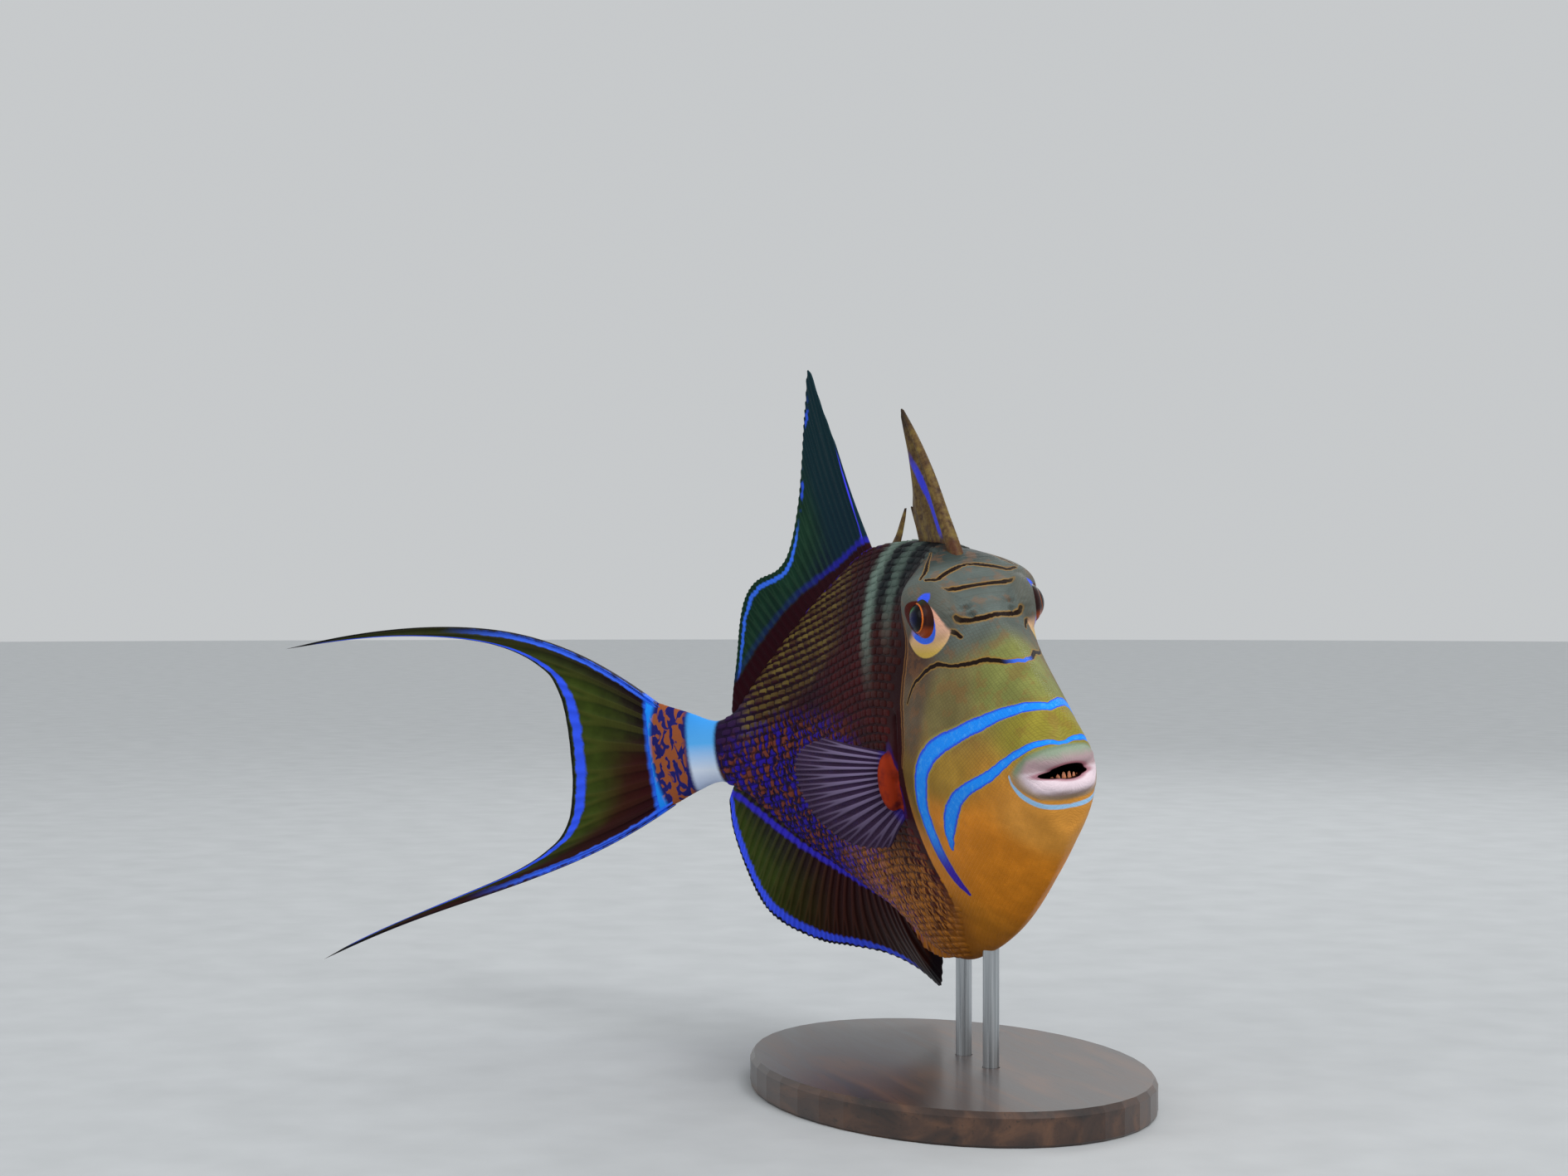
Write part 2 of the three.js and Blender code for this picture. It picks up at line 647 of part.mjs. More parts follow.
function base() {
  const half = BASE_LENGTH / 2;
  const outline = [
    [0, 0], [half - 1, 0], [half, 1],
    [half, BASE_THICK - BASE_BEVEL], [half - BASE_BEVEL, BASE_THICK], [0, BASE_THICK],
  ].map(([x, y]) => new THREE.Vector2(x, y));
  const upright = new THREE.Matrix4().makeRotationX(Math.PI / 2);
  const oval = new THREE.Matrix4().makeScale(1, BASE_WIDTH / BASE_LENGTH, 1);
  return solidOf(new THREE.LatheGeometry(outline, 44), oval.multiply(upright));
}

// A rod stands under the keel at u. Its place in the room follows from the fish's bend and bank.
function rodPlace(u) {
  const keel = place({ u, y: 0, z: bottomLine(u) }).applyMatrix4(fishMatrix);
  return { x: keel.x, y: keel.y, low: BASE_THICK - ROD_SOCKET, high: keel.z + ROD_IN_FISH };
}

function rod(u, grow = 0) {
  const { x, y, low, high } = rodPlace(u);
  const long = high - low + 2 * grow;
  const upright = new THREE.Matrix4().makeRotationX(Math.PI / 2);
  const lift = new THREE.Matrix4().makeTranslation(x, y, (low + high) / 2);
  const shaft = new THREE.CylinderGeometry(ROD_RADIUS + grow, ROD_RADIUS + grow, long, 20);
  return solidOf(shaft, lift.multiply(upright));
}

// A solid of the room as the banked fish sees it.
function inFish(solid) {
  return solid.transform(fishMatrix.clone().invert().elements);
}

// Assembly

const rodHoles = Object.values(RODS).map((u) => rod(u, GAP));
let flesh = body();
const grown = body(GAP);
for (const side of [1, -1]) flesh = flesh.add(eyeMound(side));
flesh = flesh.add(lip(UPPER_LIP)).add(lip(LOWER_LIP)).subtract(mouthCavity());
for (const up of [1, -1]) flesh = flesh.subtract(teeth(up, GAP));
for (const side of [1, -1]) {
  flesh = flesh.subtract(eyeball(side, GAP)).subtract(nostrils(side)).subtract(gillSlit(side));
}
for (const hole of rodHoles) flesh = flesh.subtract(inFish(hole));
flesh = flesh.subtract(parting(HEAD_END)).subtract(parting(TRUNK_END));
const [head, trunk, stalk] = largestPieces(flesh.simplify(SLIVER), 3).sort(
  (p, q) => q.boundingBox().max[0] - p.boundingBox().max[0],
);

const pelvicFlap = rayedFin({
  point: flapPoint, rays: 9, rows: 3, rayRoot: 7, rayTip: 3, webRoot: 5.5, webTip: 1.6,
});

function pectoral(side, flare) {
  const fan = rayedFin({
    point: pectoralPoint(side, flare), rays: 14, rows: 4,
    rayRoot: 2.2, rayTip: 0.9, webRoot: 1.2, webTip: 0.6,
  });
  const z = (PECTORAL_TOP + PECTORAL_BOTTOM) / 2;
  const at = { u: PECTORAL_U + 0.008, y: side * (sideReach(PECTORAL_U, z) + 0.004), z };
  return fan.add(ball(at, { u: 0.012, y: 0.016, z: 0.036 }, 12));
}

const spinyWeb = web(firstSpine, webEdge, 5, 7);
const spinyDorsal = spine(firstSpine, 0.0085).add(spine(secondSpine, 0.0045)).add(spinyWeb);

// The tail fin is parted along its middle ray into its two lobes.
const tail = rayedFin({
  point: tailPoint, rays: 12, rows: 12, spread: (t) => 0.5 - 0.5 * Math.cos(Math.PI * t), ...FIN_THICKNESS,
}).subtract(grown);
const tailMiddle = place({ u: TAIL_ROOT, y: 0, z: (TAIL_ROOT_TOP + TAIL_ROOT_BOTTOM) / 2 });
const tailCut = solidOf(new THREE.BoxGeometry(SL, SL, GAP), new THREE.Matrix4().setPosition(tailMiddle));
const [tailUpper, tailLower] = largestPieces(tail.subtract(tailCut), 2).sort(
  (p, q) => q.boundingBox().max[2] - p.boundingBox().max[2],
);

const fishParts = {
  head: [head, COLOURS.face, 0.5],
  trunk: [trunk, COLOURS.flank, 0.5],
  tail_stalk: [stalk, COLOURS.stalk, 0.5],
  eye_left: [eyeball(1), COLOURS.eye, 0.1],
  eye_right: [eyeball(-1), COLOURS.eye, 0.1],
  teeth_upper: [teeth(1), COLOURS.tooth, 0.3],
  teeth_lower: [teeth(-1), COLOURS.tooth, 0.3],
  spiny_dorsal_fin: [spinyDorsal.subtract(grown), COLOURS.spine, 0.55],
  third_dorsal_spine: [thirdSpine().subtract(grown), COLOURS.spine, 0.55],
  soft_dorsal_fin: [
    rayedFin({ point: dorsalPoint, rays: 29, rows: 5, ...FIN_THICKNESS }).subtract(grown), COLOURS.fin, 0.5,
  ],
  anal_fin: [
    rayedFin({ point: analPoint, rays: 27, rows: 5, ...FIN_THICKNESS }).subtract(grown), COLOURS.fin, 0.5,
  ],
  tail_fin_upper: [tailUpper, COLOURS.fin, 0.5],
  tail_fin_lower: [tailLower, COLOURS.fin, 0.5],
  pectoral_fin_right: [pectoral(-1, 1.15).subtract(grown), COLOURS.pectoral, 0.5],
  pectoral_fin_left: [pectoral(1, 0.45).subtract(grown), COLOURS.pectoral, 0.5],
  pelvic_flap: [pelvicFlap.subtract(grown), COLOURS.face, 0.6],
};

function meshOf(name, solid, color, roughness, metalness = 0) {
  const material = new THREE.MeshStandardMaterial({ color, roughness, metalness });
  const mesh = new THREE.Mesh(geometryOf(largestPieces(solid, 1)[0]), material);
  mesh.name = name;
  return mesh;
}

const fish = new THREE.Group();
fish.rotation.x = ROLL;
fish.position.copy(SNOUT);
for (const [name, [solid, color, roughness]] of Object.entries(fishParts)) {
  fish.add(meshOf(name, solid, color, roughness));
}

const stand = new THREE.Group();
let plate = base();
for (const hole of rodHoles) plate = plate.subtract(hole);
stand.add(meshOf("stand_base", plate, COLOURS.base, 0.45));
for (const [name, u] of Object.entries(RODS)) {
  stand.add(meshOf(name, rod(u), COLOURS.rod, 0.3, 1));
}

const model = new THREE.Group();
model.add(fish, stand);
export default model;
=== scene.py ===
"""A life-size queen triggerfish (Balistes vetula) on a plain display stand.

Metres, +X towards the snout, +Y to the fish's left, +Z up. The fish is drawn straight first, in
shares of its standard length: u runs back from the snout, y to its left and z up from the line of
the mouth. Then it is bent to its right and banked.
"""
import math

import bmesh
import bpy
import numpy as np
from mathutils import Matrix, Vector


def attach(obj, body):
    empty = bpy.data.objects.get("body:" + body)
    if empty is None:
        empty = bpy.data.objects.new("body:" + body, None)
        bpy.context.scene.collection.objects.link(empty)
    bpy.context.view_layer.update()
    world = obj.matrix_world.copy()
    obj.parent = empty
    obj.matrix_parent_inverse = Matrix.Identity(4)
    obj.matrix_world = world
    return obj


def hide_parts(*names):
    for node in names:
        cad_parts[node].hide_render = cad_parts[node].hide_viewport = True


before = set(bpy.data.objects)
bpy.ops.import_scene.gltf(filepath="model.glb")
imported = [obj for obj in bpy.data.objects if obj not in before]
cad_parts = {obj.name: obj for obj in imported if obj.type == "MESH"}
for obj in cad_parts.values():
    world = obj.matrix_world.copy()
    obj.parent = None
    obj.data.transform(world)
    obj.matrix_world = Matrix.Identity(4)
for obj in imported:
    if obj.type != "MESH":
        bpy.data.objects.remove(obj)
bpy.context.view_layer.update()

SL = 0.3
BANK = math.radians(8)
SNOUT = np.array([0.42, 0.0, 0.42])
BEND_START, BEND_END, BEND_TURN = 0.3, 1.3, math.radians(52)
MM = 0.001
SKIN_START, SKIN_END = 0.04, 1.06


# Plain interpolation


def smooth(*points):
    """A smooth function through a few (x, y) points: cubic Hermite with averaged slopes."""
    xs, ys = np.array(points, float).T
    before = np.maximum(np.arange(len(xs)) - 1, 0)
    after = np.minimum(np.arange(len(xs)) + 1, len(xs) - 1)
    slopes = (ys[after] - ys[before]) / (xs[after] - xs[before])

    def value(x):
        x = np.clip(x, xs[0], xs[-1])
        i = np.clip(np.searchsorted(xs, x) - 1, 0, len(xs) - 2)
        h = xs[i + 1] - xs[i]
        t = (x - xs[i]) / h
        rise = (3 - 2 * t) * t * t
        return (
            (1 - rise) * ys[i]
            + rise * ys[i + 1]
            + (t - 1) ** 2 * t * h * slopes[i]
            + (t - 1) * t * t * h * slopes[i + 1]
        )

    return value


def lerp(a, b, t):
    return a + (b - a) * t


def step(low, high, x):
    """0 below low, 1 above high, and a smooth rise between."""
    t = np.clip((x - low) / (high - low), 0, 1)
    return t * t * (3 - 2 * t)


# The straight fish

top_line = smooth(
    (0.04, 0.033), (0.046, 0.047), (0.06, 0.067), (0.1, 0.103), (0.16, 0.152), (0.21, 0.19),
    (0.25, 0.221), (0.29, 0.245), (0.33, 0.257), (0.38, 0.262), (0.46, 0.264), (0.56, 0.258),
    (0.64, 0.23), (0.717, 0.193), (0.79, 0.146), (0.84, 0.108), (0.88, 0.074), (0.91, 0.051),
    (0.945, 0.041), (0.99, 0.056), (1.03, 0.07), (1.06, 0.082),
)
bottom_line = smooth(
    (0.04, -0.033), (0.046, -0.05), (0.06, -0.074), (0.11, -0.117), (0.17, -0.155), (0.25, -0.2),
    (0.3, -0.222), (0.36, -0.243), (0.43, -0.261), (0.5, -0.26), (0.56, -0.238), (0.62, -0.212),
    (0.68, -0.19), (0.76, -0.153), (0.83, -0.114), (0.88, -0.08), (0.92, -0.054), (0.95, -0.045),
    (0.99, -0.056), (1.03, -0.072), (1.06, -0.084),
)
half_width = smooth(
    (0.04, 0.026), (0.046, 0.036), (0.06, 0.0435), (0.1, 0.059), (0.16, 0.08), (0.22, 0.094),
    (0.28, 0.1), (0.34, 0.102), (0.44, 0.099), (0.54, 0.09), (0.64, 0.073), (0.74, 0.053),
    (0.84, 0.034), (0.92, 0.022), (0.98, 0.016), (1.06, 0.009),
)
widest_line = smooth(
    (0.03, 0), (0.1, -0.008), (0.16, -0.012), (0.25, 0), (0.4, 0.02), (0.6, 0.012), (0.85, 0), (1.06, 0)
)
top_squareness = smooth(
    (0.03, 2.2), (0.06, 1.8), (0.1, 1.5), (0.16, 1.42), (0.25, 1.5), (0.33, 1.75), (0.42, 1.95),
    (0.6, 1.85), (0.75, 1.8), (0.95, 2),
)
bottom_squareness = smooth(
    (0.03, 2.1), (0.06, 1.7), (0.1, 1.4), (0.16, 1.35), (0.25, 1.5), (0.36, 1.6), (0.55, 1.6),
    (0.7, 1.7), (0.95, 2),
)
BROW_U, BROW_Z, BROW_LONG, BROW_TALL, BROW_OUT, BROW_BLEND = 0.258, 0.216, 0.052, 0.052, 0.053, 0.12


def brow(u, z, across):
    """How far the forehead swells out to each side over the eyes."""
    swell = np.exp(-(((u - BROW_U) / BROW_LONG) ** 2) - ((z - BROW_Z) / BROW_TALL) ** 2)
    return BROW_OUT * swell * np.tanh(across / BROW_BLEND)


def section(u, above):
    """The widest line's height, the reach above or below it and the section's power at u."""
    middle = widest_line(u)
    reach = np.where(above, top_line(u) - middle, middle - bottom_line(u))
    power = np.where(above, top_squareness(u), bottom_squareness(u))
    return middle, reach, power


def skin_point(u, angle):
    """The skin at u and at an angle round the section, from the left side over the back."""
    c, s = np.cos(angle), np.sin(angle)
    middle, reach, power = section(u, s >= 0)
    z = middle + reach * np.sign(s) * np.abs(s) ** (2 / power)
    across = half_width(u) * np.abs(c) ** (2 / power) + brow(u, z, np.abs(c))
    return u, np.sign(c) * across, z


def side_reach(u, z):
    """How far the flank stands out at a height z of the section at u."""
    middle, reach, power = section(u, z >= widest_line(u))
    share = np.minimum(np.abs((z - middle) / reach), 1)
    across = np.sqrt(1 - share**power)
    return half_width(u) * across ** (2 / power) + brow(u, z, across)


# The bend and the bank

BEND_STEP = 0.005
FIRST_U = -0.1
COARSE = 6
bone_u = FIRST_U + BEND_STEP * np.arange(421)
bone_turn = BEND_TURN * step(BEND_START, BEND_END, bone_u)
middle_turn = (bone_turn[1:] + bone_turn[:-1]) / 2
bone_x = -FIRST_U - np.r_[0, np.cumsum(BEND_STEP * np.cos(middle_turn))]
bone_y = -np.r_[0, np.cumsum(BEND_STEP * np.sin(middle_turn))]


def banked(x, y, z):
    """The same place or direction on the banked fish."""
    c, s = math.cos(BANK), math.sin(BANK)
    return np.stack([x, y * c - z * s, y * s + z * c], -1)


def place(u, y, z):
    """From the straight fish to the bent and banked one, in metres."""
    u, y, z = np.broadcast_arrays(np.asarray(u, float), y, z)
    turn = np.interp(u, bone_u, bone_turn)
    x = np.interp(u, bone_u, bone_x) - y * np.sin(turn)
    across = np.interp(u, bone_u, bone_y) + y * np.cos(turn)
    return (banked(x, across, z) + SNOUT) * SL


def unplace(points):
    """From the bent and banked fish back to the straight one."""
    p = np.asarray(points) / SL - SNOUT
    x = p[:, 0]
    across = p[:, 1] * math.cos(BANK) + p[:, 2] * math.sin(BANK)
    z = p[:, 2] * math.cos(BANK) - p[:, 1] * math.sin(BANK)
    u = np.empty(len(p))
    coarse = slice(None, None, COARSE)
    cos, sin = np.cos(bone_turn[coarse]), np.sin(bone_turn[coarse])
    for part in np.array_split(np.arange(len(p)), max(1, len(p) // 20000)):
        behind = -(x[part, None] - bone_x[coarse]) * cos - (across[part, None] - bone_y[coarse]) * sin
        i = np.clip((behind > 0).sum(1) - 1, 0, len(cos) - 2)
        rows = np.arange(len(part))
        near, far = behind[rows, i], behind[rows, i + 1]
        u[part] = FIRST_U + COARSE * BEND_STEP * (i + near / (near - far))
    turn = np.interp(u, bone_u, bone_turn)
    aside, ahead = across - np.interp(u, bone_u, bone_y), x - np.interp(u, bone_u, bone_x)
    return u, aside * np.cos(turn) - ahead * np.sin(turn), z


def turned(vectors, about_z):
    """Directions of the straight fish near the head, turned about its upright and then banked."""
    v = np.asarray(vectors, float)
    c, s = math.cos(about_z), math.sin(about_z)
    return banked(v[..., 0] * c - v[..., 1] * s, v[..., 0] * s + v[..., 1] * c, v[..., 2])


# Meshes


def new_object(name, points, faces):
    mesh = bpy.data.meshes.new(name)
    mesh.from_pydata(np.asarray(points, float).tolist(), [], [tuple(face) for face in faces])
    facing = bmesh.new()
    facing.from_mesh(mesh)
    bmesh.ops.recalc_face_normals(facing, faces=facing.faces)
    facing.to_mesh(mesh)
    facing.free()
    mesh.polygons.foreach_set("use_smooth", np.ones(len(mesh.polygons), bool))
    made = bpy.data.objects.new(name, mesh)
    bpy.context.scene.collection.objects.link(made)
    return made


def points_of(obj, kind="co"):
    values = np.empty(len(obj.data.vertices) * 3, np.float32)
    obj.data.vertices.foreach_get(kind, values)
    return values.reshape(-1, 3).astype(float)


def normals_of(obj):
    return points_of(obj, "normal")


def move_points(obj, points):
    obj.data.vertices.foreach_set("co", np.asarray(points, np.float32).ravel())
    obj.data.update()


def keep_fields(obj, **fields):
    """Stores numbers or vectors at every vertex, for the materials to read."""
    for name, values in fields.items():
        values = np.asarray(values, np.float32)
        kind, slot = ("FLOAT_VECTOR", "vector") if values.ndim == 2 else ("FLOAT", "value")
        layer = obj.data.attributes.get(name) or obj.data.attributes.new(name, kind, "POINT")
        layer.data.foreach_set(slot, values.ravel())


def keep_flat(obj):
    """Stores each vertex's place on the straight fish, and returns it."""
    u, y, z = unplace(points_of(obj))
    keep_fields(obj, flat=np.stack([u, y, z], -1))
    return u, y, z


def settle(obj):
    """Applies the modifiers of an object."""
    depsgraph = bpy.context.evaluated_depsgraph_get()
    mesh = bpy.data.meshes.new_from_object(obj.evaluated_get(depsgraph))
    obj.modifiers.clear()
    obj.data = mesh
    mesh.polygons.foreach_set("use_smooth", np.ones(len(mesh.polygons), bool))


def grid_faces(rows, columns, closed):
    """Quads over a grid of points, and round again to the first column where it is closed."""
    i, j = np.meshgrid(np.arange(rows - 1), np.arange(columns if closed else columns - 1), indexing="ij")
    a, b = i * columns + j, i * columns + (j + 1) % columns
    return np.stack([a, b, b + columns, a + columns], -1).reshape(-1, 4).tolist()


def border(rows, columns):
    """The points round the edge of a grid, in order."""
    last = columns - 1
    line = [i * columns for i in range(rows - 1)] + [(rows - 1) * columns + j for j in range(last)]
    return line + [i * columns + last for i in range(rows - 1, 0, -1)] + list(range(last, 0, -1))


def loft(rings):
    """A closed skin over a row of rings, shape (rings, points, 3), with a fan at both ends."""
    rows, columns = rings.shape[:2]
    points = rings.reshape(-1, 3)
    faces = grid_faces(rows, columns, True)
    ends = np.array([rings[0].mean(0), rings[-1].mean(0)])
    first, last = len(points), len(points) + 1
    base = (rows - 1) * columns
    for j in range(columns):
        k = (j + 1) % columns
        faces += [[first, k, j], [last, base + j, base + k]]
    return np.concatenate([points, ends]), faces


def joined(*parts):
    """Several (points, faces) as one."""
    points, faces, start = [], [], 0
    for some, over in parts:
        points.append(some)
        faces += [[v + start for v in face] for face in over]
        start += len(some)
    return np.concatenate(points), faces


BALL_SIDES = 96


def ball(at, size, about_z=0.0):
    """A closed ellipsoid near the head. Sizes are in shares of SL."""
    polar = np.linspace(0, math.pi, BALL_SIDES // 2 + 1)[1:-1, None]
    around = np.linspace(0, 2 * math.pi, BALL_SIDES, endpoint=False)[None, :]
    level = np.sin(polar)
    unit = np.broadcast_arrays(level * np.cos(around), level * np.sin(around), np.cos(polar))
    unit = np.stack(unit, -1)
    points, faces = loft(place(*at) + turned(unit * np.array(size) * SL, about_z))
    pole = turned([0, 0, size[2] * SL], about_z)
    points[-2:] = place(*at) + pole, place(*at) - pole
    return points, faces


def tube(path, radii, sides):
    """A tube of varying radius along placed points."""
    path = np.asarray(path, float)
    radii = np.asarray(radii, float)
    along = np.gradient(path, axis=0)
    along /= np.linalg.norm(along, axis=1)[:, None]
    side = np.cross([0, 0, 1.0], along)
    weak = np.linalg.norm(side, axis=1) < 0.22
    side[weak] = np.cross([1.0, 0, 0], along[weak])
    side /= np.linalg.norm(side, axis=1)[:, None]
    up = np.cross(along, side)
    angle = np.linspace(0, 2 * math.pi, sides, endpoint=False)
    rings = path[:, None] + radii[:, None, None] * (
        side[:, None] * np.cos(angle)[None, :, None] + up[:, None] * np.sin(angle)[None, :, None]
    )
    return loft(rings)


# The head's small parts

EYE_U, EYE_Y, EYE_Z = 0.253, 0.054, 0.178
EYE_RADIUS = 0.028
EYE_TURN, LOOK_TURN = math.radians(14), math.radians(3)
RIM_SIZE, RIM_BACK = (0.038, 0.0225, 0.038), 0.002
LIP_FRONT, LIP_BACK, LIP_SIDE = 0.035, 0.045, 0.036
UPPER_LIP = (0.0118, 0.0175, 0.0065)
LOWER_LIP = (0.0105, -0.014, -0.006)


def eye_mound(side):
    at = (EYE_U + RIM_BACK * math.sin(EYE_TURN), side * (EYE_Y - RIM_BACK * math.cos(EYE_TURN)), EYE_Z)
    return ball(at, RIM_SIZE, -side * EYE_TURN)


def lip(radius, height, corner):
    """One lip: a roll round the front of the muzzle, from corner to corner."""
    angle = np.linspace(-1.5, 1.5, 90)
    front = np.cos(angle)
    fullness = front**0.6
    path = place(
        LIP_FRONT + LIP_BACK * (1 - front), LIP_SIDE * np.sin(angle), lerp(corner, height, fullness)
    )
    return tube(path, lerp(abs(corner), radius, fullness) * SL, 32)


# The skin, in one piece

SKIN_GRAIN = 0.0007
BODY_SIDES = 144


def body():
    muzzle = [SKIN_START, 0.041, 0.043, 0.046, 0.05, 0.055, 0.06]
    stations = np.r_[muzzle, np.arange(0.066, SKIN_END, 0.006), SKIN_END]
    angle = np.linspace(0, 2 * math.pi, BODY_SIDES, endpoint=False)
    return loft(place(*skin_point(*np.meshgrid(stations, angle, indexing="ij"))))


PECTORAL_U, PECTORAL_TOP, PECTORAL_BOTTOM = 0.335, 0.016, -0.046
PECTORAL_Z = (PECTORAL_TOP + PECTORAL_BOTTOM) / 2


def pectoral_root(side):
    at = (PECTORAL_U + 0.008, side * (side_reach(PECTORAL_U, PECTORAL_Z) + 0.004), PECTORAL_Z)
    return ball(at, (0.012, 0.016, 0.036))


shells = [body(), lip(*UPPER_LIP), lip(*LOWER_LIP)]
shells += [eye_mound(side) for side in (1, -1)]
shells += [pectoral_root(side) for side in (1, -1)]
skin = new_object("skin", *joined(*shells))
remesh = skin.modifiers.new("remesh", "REMESH")
remesh.mode = "VOXEL"
remesh.voxel_size = SKIN_GRAIN
settle(skin)
# The mouth is two hollows that overlap: the middle of each in (u, y, z), and its reach.
MOUTHS = [
    ((0.045, 0.001, 0.0018), (0.05, 0.0195, 0.0086)),
    ((0.045, -0.004, -0.0008), (0.05, 0.028, 0.0045)),
]
cavities = [new_object("cavity", *ball(*mouth)) for mouth in MOUTHS]
for cavity in cavities:
    cut = skin.modifiers.new("cut", "BOOLEAN")
    cut.operation = "DIFFERENCE"
    cut.solver = "MANIFOLD"
    cut.object = cavity
soften = skin.modifiers.new("soften", "SMOOTH")
soften.factor = 0.5
soften.iterations = 4
settle(skin)
for cavity in cavities:
    bpy.data.objects.remove(cavity)


# Markings, as smooth curves on the straight fish: (u, distance from the middle, z), then half width.

GILL_SLIT = [
    (0.316 + 0.01 * t - 0.006 * math.sin(math.pi * t), lerp(0.062, -0.012, t))
    for t in np.linspace(0, 1, 7)
]


def dense(points, count=60):
    """A smooth line through a few points."""
    points = np.array(points, float)
    run = np.r_[0, np.cumsum(np.linalg.norm(np.diff(points[:, :3], axis=0), axis=1))]
    at = np.linspace(0, run[-1], count)
    return np.stack([smooth(*zip(run, column))(at) for column in points.T], -1)


NET_U, NET_ANGLE = np.linspace(SKIN_START, 0.45, 300), np.linspace(-math.pi / 2, math.pi / 2, 361)
SKIN_NET = np.stack(skin_point(*np.meshgrid(NET_U, NET_ANGLE, indexing="ij")), -1).reshape(-1, 3)


def snapped(line):
    """The same line, laid onto the skin."""
    for point in line:
        away = ((SKIN_NET - point[:3]) ** 2).sum(1)
        point[:3] = SKIN_NET[away.argmin()]
    return line


def from_curve(u, y, z, curve, far=0.08, lay=True):
    """How far points are from a curve, as a share of its half width there, its 4th number."""
    line = dense(curve)
    if lay:
        line = snapped(line)
    low, high = line[:, :3].min(0) - far, line[:, :3].max(0) + far
    p = np.stack([u, np.abs(y), z], -1)
    near = np.nonzero(((p > low) & (p < high)).all(1))[0]
    result = np.full(len(p), 9.0)
    best = np.full(len(near), 1e9)
    share = np.full(len(near), 9.0)
    for a, b in zip(line[:-1], line[1:]):
        d = b[:3] - a[:3]
        t = np.clip(((p[near] - a[:3]) @ d) / (d @ d), 0, 1)
        away = np.linalg.norm(p[near] - a[:3] - t[:, None] * d, axis=1)
        better = away < best
        best = np.where(better, away, best)
        share = np.where(better, away / lerp(a[3], b[3], t), share)
    result[near] = share
    return result


UPPER_BLUE = [
    (0.066, 0.0, 0.07, 0.0055), (0.108, 0.037, 0.068, 0.0075), (0.143, 0.056, 0.057, 0.0095),
    (0.179, 0.074, 0.044, 0.0105), (0.211, 0.086, 0.031, 0.013), (0.237, 0.095, 0.013, 0.015),
    (0.252, 0.097, -0.01, 0.0155), (0.266, 0.094, -0.034, 0.0145), (0.272, 0.089, -0.06, 0.014),
    (0.274, 0.082, -0.086, 0.013), (0.274, 0.072, -0.112, 0.0115), (0.27, 0.061, -0.135, 0.009),
    (0.265, 0.053, -0.152, 0.004),
]
LOWER_BLUE = [
    (0.039, 0.0, 0.034, 0.002), (0.05, 0.029, 0.034, 0.004), (0.082, 0.048, 0.019, 0.0055),
    (0.113, 0.062, 0.001, 0.007), (0.15, 0.077, -0.014, 0.0075), (0.18, 0.082, -0.029, 0.0095),
    (0.208, 0.082, -0.051, 0.0115), (0.228, 0.079, -0.073, 0.0085), (0.239, 0.075, -0.092, 0.0035),
]
LIP_BLUE = [
    (0.081, 0.051, 0.0, 0.0018), (0.078, 0.049, -0.01, 0.0028), (0.07, 0.045, -0.021, 0.0033),
    (0.059, 0.039, -0.029, 0.0035), (0.046, 0.025, -0.036, 0.003), (0.04, 0.0, -0.0385, 0.0027),
]
FACE_LINES = [
    [
        (0.284, 0.088, 0.08, 0.0012), (0.276, 0.084, 0.098, 0.0016), (0.257, 0.075, 0.114, 0.002),
        (0.235, 0.064, 0.123, 0.0022), (0.214, 0.056, 0.121, 0.0016), (0.19, 0.045, 0.122, 0.0022),
        (0.162, 0.029, 0.126, 0.0025), (0.141, 0.018, 0.123, 0.0022), (0.124, 0.0, 0.12, 0.0022),
    ],
    [
        (0.229, 0.046, 0.18, 0.0016), (0.222, 0.04, 0.177, 0.0024), (0.215, 0.035, 0.171, 0.0026),
        (0.195, 0.015, 0.171, 0.0026), (0.19, 0.0, 0.172, 0.003),
    ],
    [
        (0.24, 0.05, 0.207, 0.0014), (0.236, 0.035, 0.206, 0.0024), (0.233, 0.024, 0.208, 0.0026),
        (0.232, 0.003, 0.21, 0.0022), (0.232, 0.0, 0.21, 0.0022),
    ],
    [
        (0.262, 0.055, 0.215, 0.0012), (0.253, 0.045, 0.22, 0.0018), (0.258, 0.03, 0.226, 0.002),
        (0.264, 0.015, 0.231, 0.0022), (0.267, 0.0, 0.234, 0.0012),
    ],
    [(0.23, 0.05, 0.158, 0.0014), (0.22, 0.044, 0.159, 0.0022), (0.208, 0.039, 0.152, 0.0014)],
    [
        (0.324, 0.022, 0.25, 0.001), (0.3, 0.035, 0.243, 0.0015), (0.271, 0.051, 0.23, 0.0016),
        (0.263, 0.061, 0.221, 0.001),
    ],
]
FACE_EDGE = [
    (0.3, 0.06, 0.226, 0.0012), (0.294, 0.072, 0.2, 0.0018), (0.292, 0.077, 0.16, 0.002),
    (0.296, 0.083, 0.125, 0.002), (0.298, 0.09, 0.09, 0.0022), (0.294, 0.096, 0.06, 0.0022),
    (0.292, 0.099, 0.03, 0.0018), (0.3, 0.1, 0.005, 0.0012),
]


def wrap(u, y, z):
    """The angle round the section, from the widest line (0) to the back (pi / 2)."""
    middle, reach, power = section(u, z >= widest_line(u))
    s = np.sign(z - middle) * np.minimum(np.abs(z - middle) / reach, 1.2) ** (power / 2)
    out = np.maximum(np.abs(y) - brow(u, z, 1.0), 0) / half_width(u)
    return np.arctan2(s, out ** (power / 2))


GIRTH_U = np.linspace(SKIN_START, SKIN_END, 103)
GIRTH_ANGLE = np.linspace(-math.pi / 2, math.pi / 2, 121)


